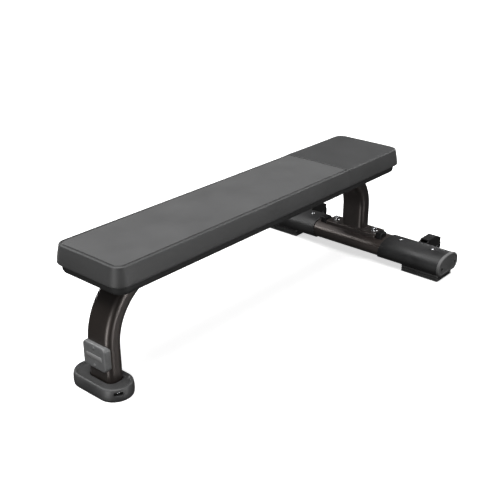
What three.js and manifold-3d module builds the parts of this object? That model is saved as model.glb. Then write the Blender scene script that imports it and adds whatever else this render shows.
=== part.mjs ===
// Flat weight bench: one long padded top on a bent-tube frame, a single front leg in a rubber
// boot, and a rear leg bolted to a wide cross tube with two rubber feet and two transport wheels.
// Millimetres, +Z up. The origin is on the floor under the middle of the bench.
// -X is the front (the single leg), +X the rear (the cross tube). "right" is -Y, "left" is +Y,
// as seen from the front leg looking along the bench.

import * as THREE from "three";
import { mergeVertices } from "three/addons/utils/BufferGeometryUtils.js";
import Module from "manifold-3d";

const wasm = await Module();
wasm.setup();

// ---------- driving dimensions ----------
const LENGTH = 1524; // front of the boot to the back of the wheels
const HEIGHT = 430; // floor to the top of the main cushion
const FIT_GAP = 0.3; // between pieces that touch

const PAD_LENGTH = 1403;
const PAD_WIDTH = 289;
const PAD_CENTRE_X = -43.5;
const PAD_CORNER_R = 43;
const CUSHION_HEIGHT = 59; // underside of the wrapped edge to the top
const CUSHION_EDGE_IN = 9.5; // how far the top rim stands in from the lower edge
const CUSHION_EDGE_DROP = 50; // height over which the side flares out
const HEAD_LENGTH = 341.5; // rear section of the pad with its own cover
const HEAD_PROUD = 1.5; // how far the rear cover stands proud of the main cushion
const SEAM_GAP = 0.6;

const BOARD_THICKNESS = 15;
const BOARD_INSET = 15;
const BOARD_CORNER_R = 30;

const TRAY_HEIGHT = 29;
const TRAY_INSET = 11; // top edge of the tray, in from the side of the cushion
const TRAY_WALL = 3;
const TRAY_EDGE_IN = 11; // sideways taper of the tray's lower edge
const TRAY_EDGE_DROP = 16;
const TRAY_SLOT_WIDTH = 150;
const TRAY_SLOT_CORNER_R = 25;
const TRAY_SLOT_CLEARANCE = 14; // beyond each end of the beam's rise through the slot

const TUBE_WIDTH = 102; // frame tube, across the bench
const TUBE_THICKNESS = 56;
const TUBE_CORNER_R = 20;
const TUBE_WALL = 3;
const FRONT_BEND_R = 200; // on the tube's centreline
const REAR_BEND_R = 150;
const BEAM_DROP = 64; // top of the cushion down to the top of the beam

const BRACKET_LENGTH = 60; // pad brackets on the beam, along the bench
const BRACKET_WIDTH = 146;
const BRACKET_CORNER_R = 8;
const BRACKET_FROM_CENTRE = 330;
const PAD_BOLT_Y = 62;
const PAD_BOLT_SKIN = 2; // plywood left over the end of a pad bolt's hole
const TRAY_SCREW_Y = 100;
const TRAY_SCREW_SHARE = 0.44; // of the pad's length, each way from its middle
const TRAY_SCREW_SKIN = 3; // plywood left over the end of a tray screw's hole
const TRAY_BOSS_R = 7;

const BOOT_HALF_LENGTH = 106.5; // across the bench
const BOOT_HALF_WIDTH = 56.5;
const BOOT_AHEAD = 12; // centre of the boot in front of the leg's
const BOOT_HEIGHT = 41;
const BOOT_EDGE_IN = 5; // rounding of the top edge, sideways
const BOOT_EDGE_DROP = 9;
const BOOT_RIM_WIDTH = 9;
const BOOT_DISH_SLOPE = 14; // the top slopes in from the rim to the leg over this width
const BOOT_DISH_DEPTH = 11;
const BOOT_POCKET_GAP = 3; // open gap round the leg at the bottom of the dish
const BOOT_POCKET_DEPTH = 4;
const BOOT_FLOOR = 12; // rubber under the leg
const BOOT_SLOT_LENGTH = 30; // recess for the screw at each end
const BOOT_SLOT_HEIGHT = 13;
const BOOT_SLOT_CORNER_R = 6;
const BOOT_SLOT_DEPTH = 13;
const BOOT_SCREW_Z = 26;
const BOOT_SCREW_TURN = 30; // degrees round the boot's end, from the side towards the front
const BOOT_SCREW_END = 14; // short of the centre of the boot's round end

const BADGE_WIDTH = 97;
const BADGE_HEIGHT = 80;
const BADGE_Z = 112;
const BADGE_PROUD = 12; // in front of the leg
const BADGE_WRAP = 14; // how far its sides reach back past the leg's front face
const BADGE_CORNER_R = 13; // seen from the front
const BADGE_EDGE = 5; // rounding of the front edge
const BADGE_SCREW_FROM_CENTRE = 28;
const BADGE_RECESS_R = 6;
const BADGE_RECESS_DEPTH = 3;
const BADGE_SCREW_GRIP = 10; // how far its screws reach into the leg

const CROSS_X = 588; // centre of the cross tube and of the rear leg
const CROSS_LENGTH = 808; // cross tube, end to end
const SLEEVE_HALF_WIDTH = 70; // outside of the plastic covers, along the bench
const SLEEVE_BOTTOM = 25;
const SLEEVE_MID = 55; // height of the widest point
const SLEEVE_TOP = 97;
const SLEEVE_WALL = 4;
const SLEEVE_INNER_LOW_Y = 146; // inner edge at the underside
const SLEEVE_INNER_HIGH_Y = 158; // inner edge at the top
const SLEEVE_CORNER_R = 26;
const SLEEVE_ARCH_FULLNESS = 0.66; // 0 is pointed, 1 is square-shouldered
const SLEEVE_SCREW_YS = [208, 345];
const SLEEVE_SCREW_GRIP = 14; // how far its screws reach into the cross tube

const CAP_THICKNESS = 11;
const CAP_RIM = 1.5; // how far a cap stands out past the cover
const CAP_EDGE = 4; // rounding of its outer edge
const CAP_PLUG_LENGTH = 16;
const CAP_SCREW_X = 48;
const CAP_SCREW_Z = 55;

const FOOT_LENGTH = 106; // along the bench
const FOOT_INNER_Y = 249;
const FOOT_OUTER_Y = 403;
const FOOT_GROOVE_DEPTH = 2.5;
const FOOT_RIBS = [0, 6, 9, 14, 17]; // bottom and top of each rib; the last reaches the top
const FOOT_RECESS_R = 8; // for its screw's head, from below
const FOOT_RECESS_DEPTH = 10;
const FOOT_SCREW_GRIP = 12;

const SADDLE_LENGTH = 72; // along the bench
const SADDLE_HALF_WIDTH = 116;
const SADDLE_TOP = 103;
const SADDLE_BOLT_Y = 88;
const SADDLE_BOLT_HOLE_GAP = 0.5; // radial
const SADDLE_WASHER_R = 13;
const SADDLE_WASHER_THICKNESS = 2.5;
const SADDLE_NUT_HEIGHT = 10;
const SADDLE_BOLT_TAIL = 3; // past its nut
const SADDLE_COVER_LENGTH = 38; // along the bench
const SADDLE_COVER_WIDTH = 27;
const SADDLE_COVER_AHEAD = 15; // centre of the end cover in front of the cross tube's
const SADDLE_COVER_RISE = 9; // above the saddle plate
const SADDLE_COVER_EDGE = 4;
const SADDLE_COVER_CORNER_R = 7;

const WHEEL_R = 41;
const WHEEL_WIDTH = 24;
const WHEEL_Y = 273;
const WHEEL_GROUND_CLEARANCE = 5.5;
const TYRE_SHOULDER = 3;
const TYRE_BEAD_IN = 1; // step in the tyre's side where it meets the hub
const TYRE_BEAD_WIDTH = 3;
const HUB_R = 25;
const HUB_BOSS_R = 11;
const HUB_BOSS_PROUD = 1.5; // past the tyre's side
const HUB_DISC_IN = 1; // inside the tyre's side
const AXLE_RUNNING_GAP = 0.1; // radial
const AXLE_NUT_HEIGHT = 8;
const AXLE_BOLT_TAIL = 3; // past its nut
const FORK_CHEEK = 4;
const FORK_END_R = 35; // rounded end of the cheeks
const FORK_WEB = 4; // top plate that joins the cheeks
const FORK_SIDE_GAP = 0.5; // cheek to hub
const FORK_TYRE_GAP = 2; // top plate to tyre
const FORK_SHOULDER_DROP = 12; // its top slopes down by this much to the cross tube
const FORK_ROOT_BOTTOM = 34; // lowest point of the fork where it meets the cross tube
const FORK_ROOT_IN = 25; // how far its root reaches inside the outline of the covers
const FORK_ROOT_OUT = 6; // and how far its solid part reaches out from it
const FORK_NOTCH_GAP = 1; // round the fork in the plastic cover
const FORK_NOTCH_DEEPER = 15; // the notch starts this far in front of the fork's root

// Screws and bolts: radius and height of the head, radius of the shank, sides of the head.
const SCREWS = {
  cover: { headR: 6, head: 2.6, shankR: 2.5, sides: 16 },
  cap: { headR: 5, head: 2.2, shankR: 2.5, sides: 16 },
  foot: { headR: 6, head: 2.7, shankR: 2.5, sides: 16 },
  badge: { headR: 5, head: 2.2, shankR: 2.5, sides: 16 },
  tray: { headR: 4.5, head: 2.2, shankR: 2, sides: 14 },
  boot: { headR: 5, head: 4, shankR: 3, sides: 14 },
  pad: { headR: 8, head: 6, shankR: 4, sides: 6 },
  saddle: { headR: 10.5, head: 10, shankR: 6, sides: 6 },
  axle: { headR: 8.5, head: 6, shankR: 5, sides: 6 },
};
const SCREW_HOLE_GAP = 0.4; // radial

// ---------- derived positions ----------
const BOOT_X = -LENGTH / 2 + BOOT_HALF_WIDTH;
const LEG_X = BOOT_X + BOOT_AHEAD;
const BEAM_TOP = HEIGHT - BEAM_DROP;
const BEAM_Z = BEAM_TOP - TUBE_THICKNESS / 2;
const PAD_BASE = HEIGHT - CUSHION_HEIGHT; // underside of board and cushion
const SEAM_X = PAD_CENTRE_X + PAD_LENGTH / 2 - HEAD_LENGTH;
const TRAY_BOTTOM = PAD_BASE - TRAY_HEIGHT;
const SLEEVE_OUTER_Y = CROSS_LENGTH / 2;
const WHEEL_X = LENGTH / 2 - WHEEL_R;
const WHEEL_Z = WHEEL_R + WHEEL_GROUND_CLEARANCE;
const HUB_WIDTH = WHEEL_WIDTH + 2 * HUB_BOSS_PROUD;
const FORK_INNER = HUB_WIDTH + 2 * FORK_SIDE_GAP;
const FORK_WIDTH = FORK_INNER + 2 * FORK_CHEEK;
const FORK_TOP = WHEEL_Z + WHEEL_R + FORK_TYRE_GAP + FORK_WEB;
const SLEEVE_REAR = CROSS_X + SLEEVE_HALF_WIDTH;

// ---------- finishes ----------
const FINISH = {
  bronzePaint: { color: 0x35291f, roughness: 0.38, metalness: 0.6 },
  greyVinyl: { color: 0x3c3d3e, roughness: 0.62, metalness: 0 },
  darkVinyl: { color: 0x353637, roughness: 0.62, metalness: 0 },
  blackPlastic: { color: 0x121514, roughness: 0.6, metalness: 0 },
  greyPlastic: { color: 0x3e4042, roughness: 0.5, metalness: 0 },
  greyRubber: { color: 0x2c2d2e, roughness: 0.75, metalness: 0 },
  blackRubber: { color: 0x151515, roughness: 0.8, metalness: 0 },
  badgeGrey: { color: 0x6b6d70, roughness: 0.45, metalness: 0.1 },
  plywood: { color: 0xb08a58, roughness: 0.8, metalness: 0 },
  zinc: { color: 0xb8bcc0, roughness: 0.3, metalness: 1 },
  blackScrew: { color: 0x1a1a1b, roughness: 0.4, metalness: 0.8 },
};

const bench = new THREE.Group();
bench.name = "flat_weight_bench";

function addPiece(name, geometry, finish) {
  const mesh = new THREE.Mesh(geometry, new THREE.MeshStandardMaterial(FINISH[finish]));
  mesh.name = name;
  bench.add(mesh);
}

// ---------- solids: joining and cutting ----------
function toSolid(geometry) {
  const bare = geometry.clone();
  bare.deleteAttribute("normal");
  bare.deleteAttribute("uv");
  const merged = mergeVertices(bare, 1e-4);
  return new wasm.Manifold(
    new wasm.Mesh({
      numProp: 3,
      vertProperties: merged.attributes.position.array,
      triVerts: new Uint32Array(merged.index.array),
    }),
  );
}

function toGeometry(solid) {
  const mesh = solid.getMesh();
  const geometry = new THREE.BufferGeometry();
  geometry.setAttribute("position", new THREE.BufferAttribute(mesh.vertProperties, 3));
  geometry.setIndex(new THREE.BufferAttribute(mesh.triVerts, 1));
  geometry.computeVertexNormals();
  return geometry;
}

const joined = (...geometries) =>
  toGeometry(geometries.map(toSolid).reduce((whole, piece) => whole.add(piece)));

const cut = (geometry, ...tools) =>
  toGeometry(tools.map(toSolid).reduce((whole, tool) => whole.subtract(tool), toSolid(geometry)));

// ---------- basic geometries in the bench's frame ----------
function box(x0, x1, y0, y1, z0, z1) {
  return new THREE.BoxGeometry(x1 - x0, y1 - y0, z1 - z0).translate(
    (x0 + x1) / 2,
    (y0 + y1) / 2,
    (z0 + z1) / 2,
  );
}

// Round bar between two heights, centred on (x, y).
function rodZ(r, x, y, z0, z1, sides = 20) {
  return new THREE.CylinderGeometry(r, r, z1 - z0, sides)
    .rotateX(Math.PI / 2)
    .translate(x, y, (z0 + z1) / 2);
}

// Round bar across the bench, centred on (x, z).
function rodY(r, x, z, y0, y1, sides = 20) {
  return new THREE.CylinderGeometry(r, r, y1 - y0, sides).translate(x, (y0 + y1) / 2, z);
}

// Round bar along the bench, centred on (y, z).
function rodX(r, y, z, x0, x1, sides = 20) {
  return new THREE.CylinderGeometry(r, r, x1 - x0, sides)
    .rotateZ(Math.PI / 2)
    .translate((x0 + x1) / 2, y, z);
}

function roundedRect(width, height, r) {
  const x = width / 2;
  const y = height / 2;
  const shape = new THREE.Shape();
  shape.moveTo(x, -y + r);
  shape.lineTo(x, y - r);
  shape.absarc(x - r, y - r, r, 0, Math.PI / 2);
  shape.lineTo(-x + r, y);
  shape.absarc(-x + r, y - r, r, Math.PI / 2, Math.PI);
  shape.lineTo(-x, -y + r);
  shape.absarc(-x + r, -y + r, r, Math.PI, 1.5 * Math.PI);
  shape.lineTo(x - r, -y);
  shape.absarc(x - r, -y + r, r, 1.5 * Math.PI, 2 * Math.PI);
  return shape;
}

// Plate lying flat between two heights, its outline drawn in X and Y.
function slab(shape, x, z0, z1, curveSegments = 6) {
  return new THREE.ExtrudeGeometry(shape, {
    depth: z1 - z0,
    bevelEnabled: false,
    curveSegments,
  }).translate(x, 0, z0);
}

// Plate with all its edges rounded: `inward` sideways over a height of `drop`.
function softSlab(length, width, r, x, z0, z1, inward, drop, rings = 3) {
  return new THREE.ExtrudeGeometry(roundedRect(length - 2 * inward, width - 2 * inward, r - inward), {
    depth: z1 - z0 - 2 * drop,
    bevelThickness: drop,
    bevelSize: inward,
    bevelSegments: rings,
    curveSegments: 5,
  }).translate(x, 0, z0 + drop);
}

// Section of the cross tube and what fits round it: flat below, arched above.
// `inset` shrinks it on every side. Drawn in X and Z.
function archSection(inset) {
  const half = SLEEVE_HALF_WIDTH - inset;
  const bottom = SLEEVE_BOTTOM + inset;
  const top = SLEEVE_TOP - inset;
  const cornerR = SLEEVE_CORNER_R - inset;
  const fullness = SLEEVE_ARCH_FULLNESS;
  const shape = new THREE.Shape();
  shape.moveTo(half - cornerR, bottom);
  shape.absarc(half - cornerR, bottom + cornerR, cornerR, -Math.PI / 2, 0);
  shape.lineTo(half, SLEEVE_MID);
  shape.bezierCurveTo(
    half,
    SLEEVE_MID + fullness * (top - SLEEVE_MID),
    fullness * half,
    top,
    0,
    top,
  );
  shape.bezierCurveTo(
    -fullness * half,
    top,
    -half,
    SLEEVE_MID + fullness * (top - SLEEVE_MID),
    -half,
    SLEEVE_MID,
  );
  shape.lineTo(-half, bottom + cornerR);
  shape.absarc(-half + cornerR, bottom + cornerR, cornerR, Math.PI, 1.5 * Math.PI);
  shape.closePath();
  return shape;
}

// A section drawn in X and Z, run across the bench and centred on x.
function runAcross(shape, x, y0, y1, curveSegments = 6) {
  return new THREE.ExtrudeGeometry(shape, {
    depth: y1 - y0,
    bevelEnabled: false,
    curveSegments,
  })
    .rotateX(Math.PI / 2)
    .translate(x, y1, 0);
}

const hollow = (outer, inner) => {
  outer.holes.push(inner);
  return outer;
};

// Head up and shank down, with the underside of the head at the origin.
function screw(kind, shankLength) {
  const { headR, head, shankR, sides } = SCREWS[kind];
  return joined(
    rodZ(headR, 0, 0, 0, head, sides),
    rodZ(shankR, 0, 0, -shankLength, head / 2, Math.max(12, 4 * Math.round(shankR))),
  );
}
const holeR = (kind) => SCREWS[kind].shankR + SCREW_HOLE_GAP;
const UPSIDE_DOWN = Math.PI; // about X, turns a screw's head to the floor
const towards = (sign) => (-sign * Math.PI) / 2; // about X, turns its head to that side

const sides = [
  { side: "right", sign: -1 },
  { side: "left", sign: 1 },
];

// The same Y span on either side of the bench, lowest value first.
const span = (sign, near, far) => (sign < 0 ? [-far, -near] : [near, far]);

// ---------- frame: front leg, beam and rear leg ----------
const TUBE_CORNER_SEGMENTS = 4;
const tubeSection = () =>
  hollow(
    roundedRect(TUBE_WIDTH, TUBE_THICKNESS, TUBE_CORNER_R),
    roundedRect(
      TUBE_WIDTH - 2 * TUBE_WALL,
      TUBE_THICKNESS - 2 * TUBE_WALL,
      TUBE_CORNER_R - TUBE_WALL,
    ),
  );

// A leg that rises straight from z0 and bends over towards the beam. `lean` is +1 for a leg
// that bends towards +X and -1 for one that bends towards -X. The first step of the sweep is
// the straight part, and the others share the bend.
function bentLeg(x, z0, bendR, lean, bendSteps) {
  const bendStart = BEAM_Z - bendR;
  const steps = bendSteps + 1;
  class LegPath extends THREE.Curve {
    getUtoTmapping(u) {
      return u;
    }
    getPoint(t, target = new THREE.Vector3()) {
      const step = t * steps;
      if (step <= 1) return target.set(x, 0, z0 + step * (bendStart - z0));
      const turn = (((step - 1) / bendSteps) * Math.PI) / 2;
      return target.set(
        x + lean * bendR * (1 - Math.cos(turn)),
        0,
        bendStart + bendR * Math.sin(turn),
      );
    }
  }
  return new THREE.ExtrudeGeometry(tubeSection(), {
    steps,
    bevelEnabled: false,
    curveSegments: TUBE_CORNER_SEGMENTS,
    extrudePath: new LegPath(),
  });
}

const legFront = LEG_X - TUBE_THICKNESS / 2;
const frontLegFoot = BOOT_FLOOR + FIT_GAP;
const badgeScrewZs = [BADGE_Z - BADGE_SCREW_FROM_CENTRE, BADGE_Z + BADGE_SCREW_FROM_CENTRE];
addPiece(
  "front_leg",
  cut(
    bentLeg(LEG_X, frontLegFoot, FRONT_BEND_R, 1, 10),
    ...badgeScrewZs.map((z) => rodX(holeR("badge"), 0, z, LEG_X - TUBE_THICKNESS, LEG_X, 12)),
  ),
  "bronzePaint",
);

const beamFront = LEG_X + FRONT_BEND_R + FIT_GAP;
const beamRear = CROSS_X - REAR_BEND_R - FIT_GAP;
addPiece(
  "main_beam",
  new THREE.ExtrudeGeometry(tubeSection(), {
    depth: beamRear - beamFront,
    bevelEnabled: false,
    curveSegments: TUBE_CORNER_SEGMENTS,
  })
    .rotateZ(Math.PI / 2)
    .rotateY(Math.PI / 2)
    .translate(beamFront, 0, BEAM_Z),
  "bronzePaint",
);

addPiece(
  "rear_leg",
  bentLeg(CROSS_X, SADDLE_TOP + FIT_GAP, REAR_BEND_R, -1, 8),
  "bronzePaint",
);

// ---------- saddle plate under the rear leg, bolted through the cross tube ----------
const tubeInset = SLEEVE_WALL + FIT_GAP;
const tubeTop = SLEEVE_TOP - tubeInset;
const saddleHoleR = SCREWS.saddle.shankR + SADDLE_BOLT_HOLE_GAP;

// The tube's own shape, a fit gap larger, for cutting what sits on it.
const tubeClearance = () =>
  runAcross(archSection(tubeInset - FIT_GAP), CROSS_X, -CROSS_LENGTH / 2, CROSS_LENGTH / 2);

addPiece(
  "saddle_plate",
  cut(
    box(
      CROSS_X - SADDLE_LENGTH / 2,
      CROSS_X + SADDLE_LENGTH / 2,
      -SADDLE_HALF_WIDTH,
      SADDLE_HALF_WIDTH,
      SLEEVE_MID,
      SADDLE_TOP,
    ),
    tubeClearance(),
    ...sides.map(({ sign }) =>
      rodZ(saddleHoleR, CROSS_X, sign * SADDLE_BOLT_Y, SLEEVE_MID, SADDLE_TOP + 1),
    ),
  ),
  "bronzePaint",
);

for (const { side, sign } of sides) {
  const y = sign * SADDLE_BOLT_Y;
  const washerBase = SADDLE_TOP + FIT_GAP;
  const headBase = washerBase + SADDLE_WASHER_THICKNESS + FIT_GAP;
  const nutTop = tubeTop - TUBE_WALL - 4 * FIT_GAP;
  const nutBottom = nutTop - SADDLE_NUT_HEIGHT;
  addPiece(
    `saddle_washer_${side}`,
    cut(
      rodZ(SADDLE_WASHER_R, CROSS_X, y, washerBase, washerBase + SADDLE_WASHER_THICKNESS, 24),
      rodZ(saddleHoleR, CROSS_X, y, SADDLE_TOP, headBase + 1),
    ),
    "zinc",
  );
  addPiece(
    `saddle_bolt_${side}`,
    screw("saddle", headBase - nutBottom + SADDLE_BOLT_TAIL).translate(CROSS_X, y, headBase),
    "zinc",
  );
  addPiece(
    `saddle_nut_${side}`,
    cut(
      rodZ(SCREWS.saddle.headR, CROSS_X, y, nutBottom, nutTop, 6),
      rodZ(holeR("saddle"), CROSS_X, y, nutBottom - 1, nutTop + 1),
    ),
    "zinc",
  );

  const coverTop = SADDLE_TOP + SADDLE_COVER_RISE;
  const [y0, y1] = span(
    sign,
    SADDLE_HALF_WIDTH + FIT_GAP,
    SADDLE_HALF_WIDTH + FIT_GAP + SADDLE_COVER_WIDTH,
  );
  addPiece(
    `saddle_end_cover_${side}`,
    cut(
      new THREE.ExtrudeGeometry(
        roundedRect(
          SADDLE_COVER_LENGTH - 2 * SADDLE_COVER_EDGE,
          SADDLE_COVER_WIDTH - 2 * SADDLE_COVER_EDGE,
          SADDLE_COVER_CORNER_R - SADDLE_COVER_EDGE,
        ),
        {
          depth: coverTop - SLEEVE_MID - 2 * SADDLE_COVER_EDGE,
          bevelThickness: SADDLE_COVER_EDGE,
          bevelSize: SADDLE_COVER_EDGE,
          bevelSegments: 3,
          curveSegments: 3,
        },
      ).translate(CROSS_X - SADDLE_COVER_AHEAD, (y0 + y1) / 2, SLEEVE_MID + SADDLE_COVER_EDGE),
      tubeClearance(),
    ),
    "blackPlastic",
  );
}

// ---------- cross tube and its plastic covers ----------
const crossTubeSolid = runAcross(
  hollow(archSection(tubeInset), archSection(tubeInset + TUBE_WALL)),
  CROSS_X,
  -CROSS_LENGTH / 2,
  CROSS_LENGTH / 2,
);
const footScrewY = (FOOT_INNER_Y + FOOT_OUTER_Y) / 2;
addPiece(
  "cross_tube",
  cut(
    crossTubeSolid,
    ...sides.flatMap(({ sign }) => [
      rodZ(saddleHoleR, CROSS_X, sign * SADDLE_BOLT_Y, SLEEVE_MID, SLEEVE_TOP),
      ...SLEEVE_SCREW_YS.map((y) =>
        rodZ(holeR("cover"), CROSS_X, sign * y, SLEEVE_MID, SLEEVE_TOP, 12),
      ),
      rodZ(holeR("foot"), CROSS_X, sign * footScrewY, SLEEVE_BOTTOM, SLEEVE_MID, 12),
    ]),
  ),
  "bronzePaint",
);

// Outline of a wheel fork's cheek in X and Z: a sloped shoulder, a straight top, a round end
// about the axle and a lower edge. It starts inside the cross tube and is cut to it.
const forkRoot = SLEEVE_REAR - FORK_ROOT_IN;
const forkRootRear = Math.min(SLEEVE_REAR + FORK_ROOT_OUT, WHEEL_X - WHEEL_R - FORK_TYRE_GAP);
const forkRootTop = FORK_TOP - FORK_SHOULDER_DROP;
function cheekShape() {
  const roundFrom = 0.5; // radians above the axle's level
  const shape = new THREE.Shape();
  shape.moveTo(forkRoot, forkRootTop);
  shape.lineTo(forkRootRear, FORK_TOP);
  shape.lineTo(WHEEL_X, FORK_TOP);
  shape.lineTo(
    WHEEL_X + FORK_END_R * Math.cos(roundFrom),
    (FORK_TOP + WHEEL_Z + FORK_END_R * Math.sin(roundFrom)) / 2,
  );
  shape.absarc(WHEEL_X, WHEEL_Z, FORK_END_R, roundFrom, -Math.PI / 2, true);
  shape.lineTo(forkRootRear, FORK_ROOT_BOTTOM);
  shape.lineTo(forkRoot, FORK_ROOT_BOTTOM);
  shape.closePath();
  return shape;
}

for (const { side, sign } of sides) {
  const wheelY = sign * WHEEL_Y;
  const cheeks = [-1, 1].map((which) => {
    const inner = wheelY + (which * FORK_INNER) / 2;
    const outer = wheelY + (which * FORK_WIDTH) / 2;
    return runAcross(cheekShape(), 0, Math.min(inner, outer), Math.max(inner, outer), 8);
  });
  const forkSide = FORK_WIDTH / 2;
  const forkBlock = joined(
    ...cheeks,
    box(
      forkRootRear - FORK_ROOT_OUT,
      WHEEL_X,
      wheelY - forkSide,
      wheelY + forkSide,
      FORK_TOP - FORK_WEB,
      FORK_TOP,
    ),
    box(
      forkRoot,
      forkRootRear,
      wheelY - forkSide,
      wheelY + forkSide,
      FORK_ROOT_BOTTOM,
      forkRootTop,
    ),
  );
  addPiece(
    `wheel_fork_${side}`,
    cut(
      forkBlock,
      tubeClearance(),
      rodY(holeR("axle"), WHEEL_X, WHEEL_Z, wheelY - FORK_WIDTH, wheelY + FORK_WIDTH, 24),
    ),
    "blackPlastic",
  );

  // The cover is a shell, slanted at its inner end and notched for the wheel fork.
  const [y0, y1] = span(sign, SLEEVE_INNER_LOW_Y, SLEEVE_OUTER_Y);
  const slant = Math.atan2(SLEEVE_INNER_HIGH_Y - SLEEVE_INNER_LOW_Y, SLEEVE_TOP - SLEEVE_BOTTOM);
  const slantTool = box(-LENGTH, LENGTH, -LENGTH, 0, -LENGTH, LENGTH)
    .rotateX(-slant)
    .translate(0, SLEEVE_INNER_LOW_Y, SLEEVE_BOTTOM);
  if (sign < 0) slantTool.rotateZ(Math.PI);
  const forkNotch = box(
    forkRoot - FORK_NOTCH_DEEPER,
    SLEEVE_REAR + 1,
    wheelY - forkSide - FORK_NOTCH_GAP,
    wheelY + forkSide + FORK_NOTCH_GAP,
    FORK_ROOT_BOTTOM - FORK_NOTCH_GAP,
    SLEEVE_TOP + FORK_NOTCH_GAP,
  );
  addPiece(
    `cross_cover_${side}`,
    cut(
      runAcross(hollow(archSection(0), archSection(SLEEVE_WALL)), CROSS_X, y0, y1),
      slantTool,
      forkNotch,
      ...SLEEVE_SCREW_YS.map((y) =>
        rodZ(holeR("cover"), CROSS_X, sign * y, SLEEVE_MID, SLEEVE_TOP + 1, 12),
      ),
      rodZ(holeR("foot"), CROSS_X, sign * footScrewY, SLEEVE_BOTTOM - 1, SLEEVE_MID, 12),
    ),
    "greyPlastic",
  );
  SLEEVE_SCREW_YS.forEach((y, index) => {
    addPiece(
      `cover_screw_${side}_${index + 1}`,
      screw("cover", SLEEVE_TOP + FIT_GAP - tubeTop + SLEEVE_SCREW_GRIP).translate(
        CROSS_X,
        sign * y,
        SLEEVE_TOP + FIT_GAP,
      ),
      "zinc",
    );
  });

  // ---------- end cap: rounded face and a plug inside the tube ----------
  const capInner = SLEEVE_OUTER_Y + FIT_GAP;
  const capOuter = capInner + CAP_THICKNESS;
  const roundedBothWays = new THREE.ExtrudeGeometry(archSection(CAP_EDGE - CAP_RIM), {
    depth: 2 * (CAP_THICKNESS - CAP_EDGE),
    bevelThickness: CAP_EDGE,
    bevelSize: CAP_EDGE,
    bevelSegments: 2,
    curveSegments: 6,
  })
    .rotateX(Math.PI / 2)
    .translate(CROSS_X, sign * capInner + CAP_THICKNESS - CAP_EDGE, 0);
  const inboard = span(sign, capInner - 2 * CAP_THICKNESS, capInner);
  const face = cut(roundedBothWays, box(0, LENGTH, inboard[0], inboard[1], 0, HEIGHT));
  const plug = span(sign, SLEEVE_OUTER_Y - CAP_PLUG_LENGTH, capInner + 1);
  const hole = span(sign, SLEEVE_OUTER_Y - CAP_PLUG_LENGTH - 1, capOuter + 1);
  const capScrewXs = [CROSS_X - CAP_SCREW_X, CROSS_X + CAP_SCREW_X];
  addPiece(
    `end_cap_${side}`,
    cut(
      joined(
        face,
        runAcross(archSection(tubeInset + TUBE_WALL + FIT_GAP), CROSS_X, plug[0], plug[1]),
      ),
      ...capScrewXs.map((x) => rodY(holeR("cap"), x, CAP_SCREW_Z, hole[0], hole[1], 12)),
    ),
    "greyPlastic",
  );
  capScrewXs.forEach((x, index) => {
    addPiece(
      `cap_screw_${side}_${index + 1}`,
      screw("cap", CAP_THICKNESS + CAP_PLUG_LENGTH)
        .rotateX(towards(sign))
        .translate(x, sign * (capOuter + FIT_GAP), CAP_SCREW_Z),
      "blackScrew",
    );
  });

  // ---------- ribbed rubber foot, screwed up into the cross tube ----------
  const [f0, f1] = span(sign, FOOT_INNER_Y, FOOT_OUTER_Y);
  const footTop = SLEEVE_BOTTOM - FIT_GAP;
  const footSlab = (inset, z0, z1) =>
    box(
      CROSS_X - FOOT_LENGTH / 2 + inset,
      CROSS_X + FOOT_LENGTH / 2 - inset,
      f0 + inset,
      f1 - inset,
      z0,
      z1,
    );
  addPiece(
    `rear_foot_${side}`,
    cut(
      joined(
        footSlab(FOOT_GROOVE_DEPTH, 1, footTop - 1),
        footSlab(0, FOOT_RIBS[0], FOOT_RIBS[1]),
        footSlab(0, FOOT_RIBS[2], FOOT_RIBS[3]),
        footSlab(0, FOOT_RIBS[4], footTop),
      ),
      rodZ(holeR("foot"), CROSS_X, sign * footScrewY, -1, footTop + 1, 12),
      rodZ(FOOT_RECESS_R, CROSS_X, sign * footScrewY, -1, FOOT_RECESS_DEPTH, 16),
    ),
    "greyRubber",
  );
  addPiece(
    `foot_screw_${side}`,
    screw("foot", SLEEVE_BOTTOM + tubeInset + FOOT_SCREW_GRIP - FOOT_RECESS_DEPTH)
      .rotateX(UPSIDE_DOWN)
      .translate(CROSS_X, sign * footScrewY, FOOT_RECESS_DEPTH - FIT_GAP),
    "zinc",
  );

  // ---------- transport wheel: tyre, hub, axle bolt and nut ----------
  const tyreSide = WHEEL_WIDTH / 2;
  const tyreProfile = [
    [HUB_R, -tyreSide + TYRE_BEAD_IN],
    [HUB_R + TYRE_BEAD_WIDTH, -tyreSide],
    [WHEEL_R - TYRE_SHOULDER, -tyreSide],
    [WHEEL_R, -tyreSide + TYRE_SHOULDER],
    [WHEEL_R, tyreSide - TYRE_SHOULDER],
    [WHEEL_R - TYRE_SHOULDER, tyreSide],
    [HUB_R + TYRE_BEAD_WIDTH, tyreSide],
    [HUB_R, tyreSide - TYRE_BEAD_IN],
    [HUB_R, -tyreSide + TYRE_BEAD_IN],
  ].map(([r, w]) => new THREE.Vector2(r, w));
  addPiece(
    `wheel_tyre_${side}`,
    new THREE.LatheGeometry(tyreProfile, 36).translate(WHEEL_X, wheelY, WHEEL_Z),
    "blackRubber",
  );
  const rimR = HUB_R - FIT_GAP;
  const boreR = SCREWS.axle.shankR + AXLE_RUNNING_GAP;
  const hubSide = HUB_WIDTH / 2;
  const discSide = tyreSide - HUB_DISC_IN;
  const hubProfile = [
    [boreR, -hubSide],
    [HUB_BOSS_R, -hubSide],
    [HUB_BOSS_R, -discSide],
    [rimR, -discSide],
    [rimR, discSide],
    [HUB_BOSS_R, discSide],
    [HUB_BOSS_R, hubSide],
    [boreR, hubSide],
    [boreR, -hubSide],
  ].map(([r, w]) => new THREE.Vector2(r, w));
  addPiece(
    `wheel_hub_${side}`,
    new THREE.LatheGeometry(hubProfile, 28).translate(WHEEL_X, wheelY, WHEEL_Z),
    "greyPlastic",
  );
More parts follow.
